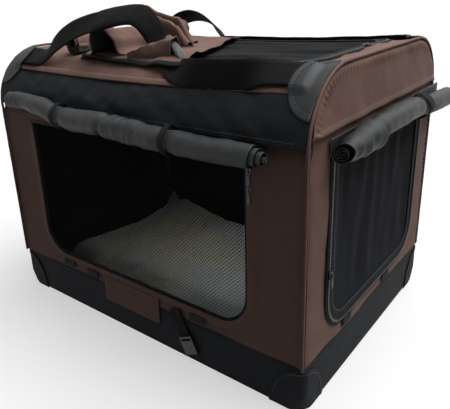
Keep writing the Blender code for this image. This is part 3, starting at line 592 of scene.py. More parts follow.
def end_folds(u, v, seed):
    """Swells, the turned edge at the seam, and short puckers that run square to it."""
    apart, run = end_seam(u, v)
    wander = 1.5 * ripple((u, v, 0), 0.05, seed)
    pucker = math.sin(2 * math.pi * run / PUCKER_STEP + wander)
    strength = 0.55 + 0.45 * ripple((run, 0, 0), 0.035, seed + 1)
    deep = math.exp(-((apart - 0.009) / 0.008) ** 2)
    long_crease = 0.0005 * ripple((run, apart * 0.25, 0), 0.016, seed + 4)
    return (wall_folds(u, v, seed) + PUCKER * strength * deep * pucker
            + long_crease * math.exp(-apart / 0.05) - 0.0050 * math.exp(-apart / 0.004))


VALANCE_CUT, VALANCE_INSET = 0.003, 0.002
for name, place, seed in (("right", right, 2.2), ("left", left, 4.9)):
    def end_wall(u, v, out=0.0):
        return place(u, v, end_folds(u, v, seed) - 0.001 + out)

    work = framed(end_outline, door_sides(END_DOOR), (90, 90, 90, 140), 12)
    shaped(work, end_wall)
    wall = piece(f"{name}_wall_cloth", work, [brown_cloth, lining],
                 [f"{name}_wall"], thick=WALL_CLOTH)
    sewn(f"{name}_foot_stitches",
         [(-HALF_WIDTH + 0.01, FOOT_SEAM), (HALF_WIDTH - 0.01, FOOT_SEAM)],
         end_wall, thread_brown, lift=0.0004)

    work = grid(230, 22)
    for vert in work.verts:
        top = HEIGHT - VALANCE_INSET
        u = vert.co.x * (HALF_WIDTH - VALANCE_INSET)
        if abs(u) > SHOULDER_Y:
            rise = (SHOULDER - VALANCE_INSET) ** 2 - (abs(u) - SHOULDER_Y) ** 2
            top = SHOULDER_Z + math.sqrt(max(rise, (END_HEM + VALANCE_CUT - SHOULDER_Z) ** 2))
        vert.co.x = u
        vert.co.y = END_HEM + (top - END_HEM) * ((vert.co.y + 1) / 2) ** 1.3
    measure_cloth(work)

    def valance(u, v, out=0.0):
        rise = v - END_HEM
        hem = 0.0016 * math.exp(-((rise - 0.004) / 0.0035) ** 2)
        hang = 0.0030 * math.exp(-rise / 0.03) * (1 + 0.6 * ripple((u, 0, 0), 0.04, seed))
        return place(u, v, end_folds(u, v, seed) + 0.0010 + hem + hang + out)

    shaped(work, valance)
    hanging = piece(f"{name}_valance", work, [brown_cloth, lining],
                    thick=WALL_CLOTH)
    sewn(f"{name}_valance_stitches", [(-0.236, END_HEM + 0.008), (0.236, END_HEM + 0.008)],
         valance, thread_brown)

# Shoulder bands: wide strips of black cloth round both long shoulders, hemmed over the walls. The
# front one is slack and wrinkled, with soft slanting folds drawn towards the ends.
WALL_RUN = SHOULDER_Z - TUB_HEIGHT
BEND_RUN = SHOULDER * math.pi / 2
TOP_RUN = 2 * WALL_RUN + 2 * BEND_RUN + 2 * SHOULDER_Y
SEAM_RUN = WALL_RUN + BEND_RUN / 2
HEM_RUN = WALL_RUN + 0.006
END_SEAM = 0.0055
HEM_SEAM, SEAM_HALF = 0.009, 0.335


def strip(half, low, high, columns, rows, place):
    """Cloth from -half to half along the crate, and from low to high over it."""
    return shaped(panel(columns, rows, (half, (high - low) / 2), (0, (high + low) / 2)), place)


def slack(u, v, seed):
    """Slanting drape folds of the slack band, none at its ends."""
    fade = ease((HALF_LENGTH - abs(u)) / 0.10)
    slant = Vector((u * 0.8 + v * 1.3, v * 0.5 - u * 0.25, 0))
    fold = ripple(slant, 0.045, seed)
    return fade * (0.0065 * fold * abs(fold) ** 0.3 + 0.0016 * ripple((u, v, 0), 0.018, seed + 2))


def front_band(u, v, out=0.0):
    hem = 0.0012 * math.exp(-((v - HEM_RUN - 0.004) / 0.003) ** 2)
    return over(u, v, 0.002 + slack(u, v, 6.3) + 0.0035 * ease((SEAM_RUN - v) / 0.06) + hem + out)


def back_band(u, v, out=0.0):
    return over(u, v, 0.002 + 0.6 * slack(u, v, 1.9) + out)


band_long = 2 * (HALF_LENGTH - END_SEAM)
work = strip(band_long / 2, HEM_RUN, SEAM_RUN, 160, 28, front_band)
band = piece("front_shoulder_band_cloth", work, [black_cloth, lining],
             ["front_shoulder_band"], thick=WALL_CLOTH)
work = strip(band_long / 2, TOP_RUN - SEAM_RUN, TOP_RUN - HEM_RUN, 120, 22, back_band)
band = piece("back_shoulder_band_cloth", work, [black_cloth, lining],
             ["back_shoulder_band"], thick=WALL_CLOTH)
for name, run, place in (("front", HEM_RUN + HEM_SEAM, front_band),
                         ("back", TOP_RUN - HEM_RUN - HEM_SEAM, back_band)):
    sewn(f"{name}_band_stitches", [(-SEAM_HALF, run), (SEAM_HALF, run)], place, thread_black)

# Top cover: brown cloth from band to band, with the top door's opening. It is felled to the bands
# with a flat raised seam, and lies in shallow waves where the zip draws it in.
TOP_DOOR = (0.165, -0.295, 0.172)
SEAM_Y = SHOULDER_Y + SHOULDER * math.cos(math.pi / 4)
cover_outline = [[(-SEAM_Y, HALF_LENGTH - END_SEAM), (-SEAM_Y, END_SEAM - HALF_LENGTH)],
                 [(-SEAM_Y, END_SEAM - HALF_LENGTH), (SEAM_Y, END_SEAM - HALF_LENGTH)],
                 [(SEAM_Y, END_SEAM - HALF_LENGTH), (SEAM_Y, HALF_LENGTH - END_SEAM)],
                 [(SEAM_Y, HALF_LENGTH - END_SEAM), (-SEAM_Y, HALF_LENGTH - END_SEAM)]]


def top(u, v, out=0.0):
    """The top door's own directions: u runs to the back, v to the left end."""
    return on_top(-v, u, out)


def cover_folds(u, v):
    fade = ease((HALF_LENGTH - abs(v)) / 0.05) * ease((SEAM_Y - abs(u)) / 0.03)
    drawn = 0.0022 * ripple((v * 1.2 + u, u * 0.4, 0), 0.035, 5.2)
    return fade * (0.0034 * ripple((u, v * 0.6, 0), 0.06, 8.8) + drawn
                   + 0.0010 * ripple((u, v, 0), 0.020, 2.4))


work = framed(cover_outline, door_sides(TOP_DOOR), (110, 70, 110, 70), 12)
shaped(work, lambda u, v: top(u, v, cover_folds(u, v)))
cover = piece("top_cover_cloth", work, [brown_cloth, lining], ["top_cover"],
              thick=WALL_CLOTH)
for name, low, high in (("front", SEAM_RUN - 0.004, SEAM_RUN + 0.008),
                        ("back", TOP_RUN - SEAM_RUN - 0.008, TOP_RUN - SEAM_RUN + 0.004)):
    def felled(u, v, out=0.0):
        return over(u, v, 0.0044 + 0.0009 * ripple((u, 0, 0), 0.014, low) + out)

    work = strip(band_long / 2, low, high, 200, 4, felled)
    seam = piece(f"{name}_felled_seam", work, [brown_cloth], thick=WALL_CLOTH)
    middle = (low + high) / 2
    sewn(f"{name}_felled_stitches", [(-SEAM_HALF, middle), (SEAM_HALF, middle)], felled,
         thread_brown)

# Piping: cord covered with the brown cloth, sewn into the seam between each end and the long walls.
# It stands proud of the seam and is drawn in a little by its stitches.
PIPING = 0.0025
for name, side in (("right", 1), ("left", -1)):
    work = grid(8, 260)
    for vert in work.verts:
        turn = (vert.co.x + 1) * math.pi
        run = 0.0005 + (vert.co.y + 1) / 2 * (TOP_RUN - 0.001)
        pull = 0.0005 * ripple((run, 0, 0), 0.006, side)
        out = 0.0028 + pull + PIPING * math.cos(turn)
        inset = PIPING + PIPING * math.sin(turn)
        vert.co = settle(over(side * (HALF_LENGTH - inset), run, out))
    measure_cloth(work, lambda spot: (spot.y + spot.z, spot.x))
    bmesh.ops.remove_doubles(work, verts=work.verts, dist=0.00005)
    bmesh.ops.holes_fill(work, edges=[e for e in work.edges if e.is_boundary], sides=12)
    bmesh.ops.recalc_face_normals(work, faces=work.faces)
    piece(f"{name}_piping_cord", work, [brown_cloth], [f"{name}_piping"])

# Corner patches: smooth black coated cloth cut to a rounded D, sewn over each upper corner where
# the hoop would rub through, with a bound edge and a line of stitches
PATCH_DEEP = 0.044
PATCH_LOW, PATCH_HIGH = math.radians(24), math.radians(82)
patch_cloth = oxford("black_coated_patch", "#181A1D", "#24272B", roughness=0.55, depth=0.2,
                     gloss=0.3)
# The handle's webbing ends under the patch and makes it stand up a little
HANDLE_TURN = math.radians(59)
STRAP_RUN, STRAP_HALF = SHOULDER * (HANDLE_TURN - (PATCH_HIGH + PATCH_LOW) / 2), 0.0215


def strap_rise(u, v):
    """How far the webbing under a corner patch pushes it up."""
    return 0.0064 * (1 - ease((abs(v - STRAP_RUN) - STRAP_HALF) / 0.010)) * ease((-u - 0.012) / 0.014)


def half_disc(rings, spokes):
    """A D cut from a disc of radius 1, its straight side along x = 0."""
    work = bmesh.new()
    bmesh.ops.create_circle(work, cap_ends=True, cap_tris=True, segments=spokes, radius=1)
    rim = [e for e in work.edges if all(v.co.length > 0.9 for v in e.verts)]
    spoke = [e for e in work.edges if e not in rim]
    bmesh.ops.subdivide_edges(work, edges=spoke, cuts=rings, use_grid_fill=True)
    bmesh.ops.bisect_plane(work, geom=work.verts[:] + work.edges[:] + work.faces[:],
                           plane_co=(0, 0, 0), plane_no=(1, 0, 0), clear_outer=True)
    return work


for edge, low_side in (("front", True), ("back", False)):
    for end, way in (("left", -1), ("right", 1)):
        reach = SHOULDER * (PATCH_HIGH - PATCH_LOW) / 2
        centre = WALL_RUN + SHOULDER * (PATCH_HIGH + PATCH_LOW) / 2

        def patched(u, v, out=0.0):
            """u runs in from the end seam, v along it from the patch's middle."""
            run = centre + v
            if not low_side:
                run = TOP_RUN - run
            return over(way * (HALF_LENGTH - END_SEAM + u), run, out)

        work = half_disc(14, 72)
        for vert in work.verts:
            rim = ease((vert.co.length - 0.88) / 0.06)
            vert.co.z = 0.0050 + 0.0013 * rim + 0.0006 * ripple(vert.co, 0.4, way)
            vert.co.x *= PATCH_DEEP
            vert.co.y *= reach
            vert.co.z += strap_rise(vert.co.x, vert.co.y)
        measure_cloth(work)
        for vert in work.verts:
            vert.co = settle(patched(*vert.co))
        outwards(work)
        patch = piece(f"corner_patch_cloth_{end}_{edge}", work, [patch_cloth],
                      [f"corner_patch_{end}_{edge}"], thick=0.0030)
        curve = [(-PATCH_DEEP * 0.84 * math.cos(a), reach * 0.86 * math.sin(a))
                 for a in (math.radians(-84 + 4 * i) for i in range(43))]
        sewn(f"corner_stitches_{end}_{edge}", curve,
             lambda u, v, out: patched(u, v, out + strap_rise(u, v)), thread_black, lift=0.0056)

# Lower corner patches: the tub's own black cloth cut to a D and sewn round each foot corner, where
# the crate is dragged. Their straight side lies at the floor.
FOOT_WIDE, FOOT_HIGH = 0.058, 0.078


def round_foot(u, v, out=0.0):
    """u runs round a corner of the tub, from its front or back on to its end, v up it."""
    bend = TUB_CORNER * math.pi / 2
    flat = HALF_LENGTH - TUB_CORNER
    side = HALF_WIDTH - TUB_CORNER
    reach = TUB_CORNER + out
    if u < -bend / 2:
        return Vector((flat + u + bend / 2, -side - reach, v))
    if u > bend / 2:
        return Vector((flat + reach, -side + u - bend / 2, v))
    turn = u / TUB_CORNER - math.pi / 4
    return Vector((flat + reach * math.cos(turn), -side + reach * math.sin(turn), v))


for end, way in (("left", -1), ("right", 1)):
    for edge, turned in (("front", 1), ("back", -1)):
        work = half_disc(10, 64)
        bmesh.ops.rotate(work, cent=(0, 0, 0), matrix=Matrix.Rotation(-math.pi / 2, 3, "Z"),
                         verts=work.verts)
        for vert in work.verts:
            rim = ease((vert.co.length - 0.90) / 0.05)
            vert.co.z = 0.0012 + 0.0008 * rim
            vert.co.x *= FOOT_WIDE
            vert.co.y = 0.002 + vert.co.y * FOOT_HIGH
        measure_cloth(work)
        for vert in work.verts:
            flush = softened(round_foot(vert.co.x, vert.co.y))
            spot = flush + round_foot(*vert.co) - round_foot(vert.co.x, vert.co.y)
            if vert.co.y < TUB_FOOT:
                tuck = (TUB_FOOT - vert.co.y) * 0.35
                spot.x -= tuck * ease((spot.x - HALF_LENGTH + 0.02) / 0.02)
                spot.y += tuck * ease((-spot.y - HALF_WIDTH + 0.02) / 0.02)
            vert.co = (spot.x * way, spot.y * turned, spot.z)
        outwards(work, (0, 0, 0.04))
        patch = piece(f"foot_patch_{end}_{edge}", work, [black_cloth],
                      thick=0.0016, folds=False)
        curve = [(FOOT_WIDE * 0.90 * math.cos(a), 0.002 + FOOT_HIGH * 0.92 * math.sin(a))
                 for a in (math.radians(6 + 4 * i) for i in range(43))]

        def stitched_foot(u, v, out=0.0):
            spot = softened(round_foot(u, v)) + round_foot(u, v, out) - round_foot(u, v)
            return Vector((spot.x * way, spot.y * turned, spot.z))

        sewn(f"foot_stitches_{end}_{edge}", curve, stitched_foot, thread_black, folds=False,
             lift=0.0018)

# Mesh doors: warp-knitted polyester net, its edge bound with folded black tape. The real holes are
# about 2 mm apart; they are made at 4.5 mm so that they show as the photograph shows them. The
# front net is fine and clear, the end and top nets are closer knit and look nearly black.
NET_PITCH = 0.0045
net_black = grained("black_polyester_net", 700.0, 0.3, 0.0003, Base_Color=linear("#252628"),
                    Roughness=0.9, Specular_IOR_Level=0.06)
tape_black = oxford("black_grosgrain_tape", "#15171A", "#202225", weave=1.1, depth=0.5, gloss=0.1)


def net(door, place, yarn, soft):
    """Diamond net over a door's opening, cut off under its binding; soft gives its slack folds."""
    half, low, high = door
    reach = (half + (high - low) / 2) * math.sqrt(0.5) + NET_PITCH
    count = round(2 * reach / NET_PITCH)
    work = bmesh.new()
    bmesh.ops.create_grid(work, x_segments=count, y_segments=count, size=reach)
    bmesh.ops.rotate(work, cent=(0, 0, 0), matrix=Matrix.Rotation(math.pi / 4, 3, "Z"),
                     verts=work.verts)
    bmesh.ops.translate(work, vec=(0, (low + high) / 2, 0), verts=work.verts)
    outside = [f for f in work.faces
               if beyond_door(door, *f.calc_center_median().xy) > -NET_PITCH * 0.75]
    bmesh.ops.delete(work, geom=outside, context="FACES")
    holes = work.faces[:]
    bmesh.ops.inset_individual(work, faces=holes, thickness=yarn / 2, use_even_offset=True)
    bmesh.ops.delete(work, geom=holes, context="FACES")
    for vert in work.verts:
        u, v = vert.co.xy
        held = ease(-beyond_door(door, u, v) / 0.05)
        vert.co = settle(place(u, v, held * soft(u, v) - 0.0008))
    outwards(work)
    return work


def round_door(door, out, closed=False):
    """The line round a door's free sides, or all four, that far outside its outline."""
    sides = door_sides(door, out)[:3 + closed]
    return [p for side in sides for p in side[:-1]] + [sides[-1][-1]]


def taped(door, inner, outer, columns, rows, place, lift, closed=False):
    """Tape laid round a door, lift metres off the wall, with slightly rounded edges."""
    edges = (round_door(door, out, closed) for out in (inner, outer))
    lines = [[*resample(line, columns), line[-1]] for line in edges]
    work = grid(columns, rows)
    length = sum(math.dist(a, b) for a, b in zip(lines[0], lines[0][1:]))
    measure_cloth(work, lambda spot: ((spot.x + 1) / 2 * length,
                                      (spot.y + 1) / 2 * (outer - inner)))
    for vert in work.verts:
        i = round((vert.co.x + 1) / 2 * columns)
        share = (vert.co.y + 1) / 2
        u, v = (a + (b - a) * share for a, b in zip(lines[0][i], lines[1][i]))
        crown = 0.0005 * (1 - (2 * share - 1) ** 4)
        pull = 0.0005 * ripple((u, v, 0), 0.012, 6.1)
        vert.co = settle(place(u, v, lift + crown + pull))
    if closed:
        bmesh.ops.remove_doubles(work, verts=work.verts, dist=0.0002)
    outwards(work)
    return work


DOORS = (
    ("front", FRONT_DOOR, front, 0.0007, 0.0005, 0.0036,
     lambda u, v: 0.003 * ripple((u, v, 0), 0.16, 2.9)),
    ("right", END_DOOR, right, 0.0028, 0.0012, 0.012,
     lambda u, v: -0.004 + 0.0040 * ripple((u, v * 0.22, 0), 0.034, 3.3)),
    ("left", END_DOOR, left, 0.0039, 0.0012, 0.012,
     lambda u, v: -0.003 + 0.0030 * ripple((u, v * 0.25, 0), 0.040, 7.7)),
    ("top", TOP_DOOR, top, 0.0017, 0.0012, 0.012,
     lambda u, v: -0.003 + 0.0060 * ripple((u, v * 0.20, 0), 0.026, 1.2)),
)
for name, door, place, yarn, thick, binding, soft in DOORS:
    half, low, high = door
    mesh_cloth = piece(f"{name}_net", net(door, place, yarn, soft), [net_black],
                       [f"{name}_door"], body=f"{name}_door", thick=thick)
    work = taped(door, -binding, 0.0002, 180, 4, place, 0.0006, closed=True)
    piece(f"{name}_door_binding", work, [tape_black], body=f"{name}_door",
          thick=0.0022)
    if binding > 0.01:
        line = [p for side in door_sides(door, -binding * 0.8) for p in side]
        sewn(f"{name}_binding_stitches", line, place, thread_black, body=f"{name}_door",
             lift=0.0011)

# Zips: woven tape round each door with a moulded chain of teeth, and cast sliders with pull tabs.
# The left zip's slider has a second pull on the inside.
TAPE_IN, TAPE_OUT = 0.0002, 0.015
CHAIN_LINE = 0.0075
TOOTH_PITCH, TOOTH_SHIFT = 0.0032, 0.0007
TOOTH_LONG, TOOTH_WIDE, TOOTH_HIGH = 0.0022, 0.0032, 0.0012
tooth_black = grained("black_nylon_coil", 600.0, 0.1, 0.0002, Base_Color=linear("#101114"),
                      Roughness=0.35)
# Tumbled black nickel on cast zinc: dark, with small soft glints
nickel = grained("black_nickel_plate", 320.0, 0.2, 0.0001, detail=4.0, roughness=(0.26, 0.50),
                 Base_Color=linear("#3A3C40"), Metallic=1.0)
for name, door, place, *_ in DOORS:
    lift = 0.0 if name == "front" else 0.0007
    work = taped(door, TAPE_IN, TAPE_OUT, 130, 4, place, 0.0002 + lift)
    piece(f"{name}_zip_tape_cloth", work, [tape_black], [f"{name}_door_zip_tape"],
          thick=0.0009)
    line = round_door(door, CHAIN_LINE)
    count = int(sum(math.dist(a, b) for a, b in zip(line, line[1:])) / TOOTH_PITCH)
    points = resample(line, count)
    work = bmesh.new()
    for i, (a, b) in enumerate(zip(points, points[1:])):
        along = Vector((b[0] - a[0], b[1] - a[1])).normalized()
        shift = Vector((-along.y, along.x)) * (TOOTH_SHIFT if i % 2 else -TOOTH_SHIFT)
        for vert in bmesh.ops.create_cube(work, size=1)["verts"]:
            flat = Vector(a) + along * vert.co.x * TOOTH_LONG + shift
            flat += Vector((-along.y, along.x)) * vert.co.y * TOOTH_WIDE
            vert.co = settle(place(flat.x, flat.y, TOOTH_HIGH + lift + vert.co.z * TOOTH_HIGH))
    bmesh.ops.recalc_face_normals(work, faces=work.faces)
    piece(f"{name}_zip_teeth", work, [tooth_black])


SLIDER, BRIDGE = (0.009, 0.012, 0.0034), (0.0022, 0.0075, 0.0030)
PULL_HALF, PULL_THICK = 0.0105, 0.0011


def slider_body(place, u, v, out):
    """Cast slider, wedge-shaped, with the bridge that its pull hangs from."""
    work = bmesh.new()
    bmesh.ops.create_cube(work, size=1)
    bmesh.ops.scale(work, vec=SLIDER, verts=work.verts)
    for vert in work.verts:
        if vert.co.y < 0:
            vert.co.x *= 0.62
    bmesh.ops.bevel(work, geom=work.edges[:], offset=0.0011, segments=3, profile=0.5,
                    affect="EDGES", material=-1)
    bridge = bmesh.ops.create_cube(work, size=1)["verts"]
    bmesh.ops.scale(work, vec=BRIDGE, verts=bridge)
    bmesh.ops.translate(work, vec=(0, 0, 0.0026), verts=bridge)
    rim = {e for v in bridge for e in v.link_edges}
    bmesh.ops.bevel(work, geom=list(rim), offset=0.0007, segments=2, profile=0.5,
                    affect="EDGES", material=-1)
    for vert in work.verts:
        vert.co = settle(place(u + vert.co.x, v + vert.co.y, out + vert.co.z))
    bmesh.ops.recalc_face_normals(work, faces=work.faces)
    return work


def pull_tab(place, u, v, out):
    """Stamped pull: a ring at its top end and a waisted tongue with a raised rib."""
    work = grid(4, 14)
    hole = [f for f in work.faces if 0.55 < f.calc_center_median().y < 0.85
            and abs(f.calc_center_median().x) < 0.5]
    bmesh.ops.delete(work, geom=hole, context="FACES")
    for vert in work.verts:
        x, y = vert.co.xy
        wide = 0.0029 - 0.0008 * math.exp(-((y - 0.35) / 0.25) ** 2)
        wide *= math.sqrt(max(1 - max(abs(y) - 0.8, 0) ** 2 * 18, 0.1))
        vert.co.x = x * wide
        vert.co.y = y * PULL_HALF
        vert.co.z = 0.0004 * math.exp(-(x / 0.4) ** 2) * (y < 0.4)
    bmesh.ops.solidify(work, geom=work.faces[:], thickness=PULL_THICK)
    for vert in work.verts:
        vert.co = settle(place(u + vert.co.x, v - PULL_HALF + vert.co.y, out + vert.co.z))
    bmesh.ops.recalc_face_normals(work, faces=work.faces)
    return work


END_CHAIN, END_SLIDER = -0.1835, 0.215
SLIDERS = (("front_zip_lower", front, 0.2575, 0.352), ("front_zip_upper", front, 0.2575, 0.380),
           ("right_zip", right, END_CHAIN, END_SLIDER), ("left_zip", left, END_CHAIN, END_SLIDER),
           ("top_zip", on_top, 0.3025, 0.030))
for name, place, u, v in SLIDERS:
    piece(f"{name}_slider_body", slider_body(place, u, v, 0.0038), [nickel],
          [f"{name}_slider"], body=f"{name}_slider")
    piece(f"{name}_pull_tab", pull_tab(place, u, v, 0.0070), [nickel], [f"{name}_pull"],
          body=f"{name}_pull", soft=1)


def inside_left(u, v, out=0.0):
    return left(u, v, -0.0060 - out)


piece("left_inner_slider", slider_body(inside_left, END_CHAIN, END_SLIDER, 0.0), [zinc],
      body="left_zip_slider")
piece("left_inner_pull", pull_tab(inside_left, END_CHAIN, 0.210, 0.0030), [zinc],
      body="left_zip_slider", soft=1)

# Rolled covers: the doors' outer covers, rolled up with their black coated backing outwards and
# tied with webbing. Each is one long sheet that hangs from its seam and is wound in a loose
# spiral, gathered and crumpled where it was pushed together, with the turns showing at its ends.
coated = oxford("black_pvc_coated_backing", "#1A1C1E", "#292B2D", roughness=0.5, depth=0.35,
                gloss=0.3)
ROLL_GAP, ROLL_TURNS = 0.0036, 3.6
OFF_WALL, HANGING = 0.0032, 0.02
ROLL_COLUMN, ROLL_ROWS = 0.0034, 104


def between(rows, u):
    """The row of numbers at u, eased between the rows on either side."""
    u = min(max(u, rows[0][0]), rows[-1][0])
    for first, last in zip(rows, rows[1:]):
        if u <= last[0]:
            share = ease((u - first[0]) / (last[0] - first[0]))
            return [a + (b - a) * share for a, b in zip(first[1:], last[1:])]
    return rows[-1][1:]


def rolled(place, route, seam, seed, crumple, ties=(), shape=None, stepped=(0.0, 0.0)):
    """Sheet wound from its seam by the wall, down, out and round. The route's rows are u along
    the roll, the height of its middle and its radius; stepped draws its outer turns in at the
    ends."""
    low, high = route[0][0], route[-1][0]
    columns, rows = int((high - low) / ROLL_COLUMN), ROLL_ROWS
    mean = sum(row[2] for row in route) / len(route)
    run = HANGING + 2 * math.pi * ROLL_TURNS * (mean - ROLL_GAP * ROLL_TURNS / 2)
    free = HANGING / run
    work = grid(columns, rows)
    measure_cloth(work, lambda spot: ((spot.x + 1) / 2 * (high - low), (spot.y + 1) / 2 * run))
    for vert in work.verts:
        share = (vert.co.y + 1) / 2
        u = low + (high - low) * (vert.co.x + 1) / 2
        turn = max((share - free) / (1 - free), 0.0) * ROLL_TURNS
        left_over = 1 - turn / ROLL_TURNS
        u += stepped[0] * left_over * ease((low + 0.10 - u) / 0.10)
        u -= stepped[1] * left_over * ease((u - high + 0.10) / 0.10)
        u += 0.004 * ripple((share * 3, 0, 0), 0.5, seed) * ease(abs(u - (low + high) / 2) / 0.2)
        height, radius = between(route, u)
        axis = OFF_WALL + radius
        angle = -2 * math.pi * turn
        outer = math.exp(-turn * 0.9)
        around = (math.cos(angle) * 0.035, math.sin(angle) * 0.035)
        fold = ripple((u * 1.4, *around), 0.030, seed)
        fine = ripple((u, around[0] * 0.6, around[1] * 0.6), 0.010, seed + 3)
        radius -= ROLL_GAP * turn
        radius += crumple * outer * (fold * abs(fold) ** 0.2 + 0.25 * fine)
        for tie_at in ties:
            radius -= 0.0046 * math.exp(-((u - tie_at) / 0.015) ** 2) * outer
        if shape:
            radius += shape(u, turn, angle) * outer
        out, up = -radius * math.cos(angle), radius * math.sin(angle)
        if share < free:
            out, up = -axis + OFF_WALL, (seam - height) * (1 - share / free)
        vert.co = settle(place(u, height + up, axis + out))
    bmesh.ops.recalc_face_normals(work, faces=work.faces)
    return work


def tie(place, route, u, width, loose=0.0):
    """Webbing loop pulled tight round a roll, its two ends sewn in at the seam above."""
    height, radius = between(route, u)
    axis = OFF_WALL + radius
    radius -= 0.0005
    work = grid(60, 6)
    measure_cloth(work, lambda spot: ((spot.x + 1) * math.pi * radius, spot.y * width / 2))
    for vert in work.verts:
        angle = math.radians(112 + (vert.co.x + 1) * 168)
        across = vert.co.y * width / 2
        cup = 0.0006 * (1 - vert.co.y ** 2)
        lift = 0.003 * math.exp(-((abs(vert.co.x) - 1) / 0.10) ** 2)
        round_it = radius + cup + loose * math.exp(-((vert.co.x - 0.1) / 0.5) ** 2)
        out, up = round_it * math.cos(angle), round_it * math.sin(angle) + lift
        vert.co = settle(place(u + across, height + up, axis + out))
    bmesh.ops.recalc_face_normals(work, faces=work.faces)
    return work


FRONT_ROLL = ((-0.290, 0.436, 0.0170), (-0.245, 0.438, 0.0180), (-0.190, 0.434, 0.0200),
              (-0.135, 0.420, 0.0215), (-0.090, 0.418, 0.0225), (-0.020, 0.420, 0.0225),
              (0.030, 0.417, 0.0220), (0.100, 0.412, 0.0220), (0.190, 0.410, 0.0205),
              (0.300, 0.411, 0.0185))
RIGHT_ROLL = ((-0.196, 0.409, 0.0150), (-0.176, 0.413, 0.0190), (-0.150, 0.417, 0.0235),
              (-0.127, 0.419, 0.0250), (-0.113, 0.418, 0.0180), (-0.102, 0.418, 0.0165),
              (-0.088, 0.421, 0.0210), (-0.074, 0.421, 0.0185), (-0.055, 0.421, 0.0200),
              (0.000, 0.422, 0.0205), (0.060, 0.420, 0.0200), (0.104, 0.413, 0.0180),
              (0.170, 0.408, 0.0195), (0.230, 0.404, 0.0195), (0.272, 0.402, 0.0185))
LEFT_ROLL = ((-0.262, 0.408, 0.0195), (-0.150, 0.414, 0.0210), (0.000, 0.420, 0.0220),
             (0.130, 0.424, 0.0215), (0.200, 0.422, 0.0200), (0.236, 0.424, 0.0190))
TIE_AT = 0.130
END_TIE_AT = 0.112


def front_creases(u, turn, angle):
    """Gathers at the left end, a sharp pinch near the middle, and crumples beside it."""
    gathers = 0.0013 * math.sin(2 * math.pi * u / 0.0085) * ease((-0.215 - u) / 0.03)
    pinch = -0.0085 * math.exp(-((u + 0.010 - 0.008 * math.sin(angle)) / 0.006) ** 2)
    ridge = 0.0030 * math.exp(-((u - 0.006 - 0.010 * math.cos(angle)) / 0.008) ** 2)
    slanted = ripple((u * 2.2, math.cos(angle + u * 30) * 0.03, 0), 0.014, 4.2)
    return gathers + pinch + ridge + 0.0055 * slanted * math.exp(-((u - 0.045) / 0.035) ** 2)


def right_creases(u, turn, angle):
    """The near end's outer turn sags open, and a second fold stands up farther along."""
    above = math.exp(-((turn % 1 - 0.62) / 0.16) ** 2)
    cuff = 0.0120 * above * ease((-0.160 - u) / 0.05) * (turn < 1)
    hollow = -0.0050 * math.exp(-((u + 0.150 + 0.012 * math.sin(angle)) / 0.010) ** 2)
    stood = 0.0085 * above * math.exp(-((u + 0.118) / 0.014) ** 2)
    slanted = ripple((u * 1.6, math.cos(angle + u * 25) * 0.03, 0), 0.018, 9.6)
    return cuff + hollow + stood + 0.0045 * slanted * ease((-0.05 - u) / 0.05)


def left_creases(u, turn, angle):
    slanted = ripple((u * 1.6, math.cos(angle - u * 25) * 0.03, 0), 0.016, 2.6)
    return 0.0050 * slanted * ease((u - 0.10) / 0.08)


for name, place, route, seam, seed, crumple, at, shape, stepped, shelf in (
    ("front", front, FRONT_ROLL, 0.4235, 3.7, 0.0034, (-TIE_AT, TIE_AT), front_creases,
     (0.006, 0.026), "front_shoulder_band_cloth"),
    ("right", right, RIGHT_ROLL, 0.4280, 5.1, 0.0026, (END_TIE_AT,), right_creases,
     (-0.004, 0.010), "right_valance"),
    ("left", left, LEFT_ROLL, 0.4280, 8.4, 0.0030, (-END_TIE_AT,), left_creases,
     (0.006, 0.014), "left_valance"),
):
    work = rolled(place, route, seam, seed, crumple, at, shape, stepped)
    cover = piece(f"{name}_rolled_cover", work, [coated], [f"{name}_curtain_roll"],
                  thick=0.0012)

for name, place, route, u, width, node in (
    ("front_tie_left", front, FRONT_ROLL, -TIE_AT, 0.010, "front_curtain_tie_left"),
    ("front_tie_right", front, FRONT_ROLL, TIE_AT, 0.010, "front_curtain_tie_right"),
    ("right_tie", right, RIGHT_ROLL, END_TIE_AT, 0.026, "right_curtain_tie"),
    ("left_tie", left, LEFT_ROLL, -END_TIE_AT, 0.020, "left_curtain_tie"),
):
    work = tie(place, route, u, width, loose=0.0015 if width > 0.02 else 0.0)
    piece(f"{name}_web", work, [tape_black], [node], thick=0.0014)

# Top door's cover: brown cloth with a pale grey coated back, sewn to the left side of the opening.
# Its root is rolled up at the hinge; the rest is pushed back in a heap of rucked folds on the net,
# and its free end lies flat with a dark bound edge.
pale = oxford("pale_grey_pvc_backing", "#434647", "#545757", roughness=0.55, depth=0.3, gloss=0.3)
FLAP_ROLL = ((-0.172, 0.5390, 0.0200), (-0.060, 0.5375, 0.0200), (0.040, 0.5380, 0.0215),
             (0.172, 0.5390, 0.0195))
FLAP_LIFT = 0.0045


def flap_creases(u, turn, angle):
    return 0.0050 * ripple((u * 1.3, math.cos(angle) * 0.03, math.sin(angle) * 0.03), 0.024, 6.6)


def beside_hinge(u, v, out=0.0):
    return Vector((-0.1825 - out, u, v))


work = rolled(beside_hinge, FLAP_ROLL, 0.5235, 2.6, 0.0030, shape=flap_creases,
              stepped=(0.004, 0.006))
roll = piece("top_rolled_cover", work, [pale, brown_cloth], ["top_flap_roll"],
             thick=0.0014)

FLAP_CORNERS = ((-0.166, -0.176), (0.108, -0.196), (-0.045, 0.172), (-0.168, 0.170))


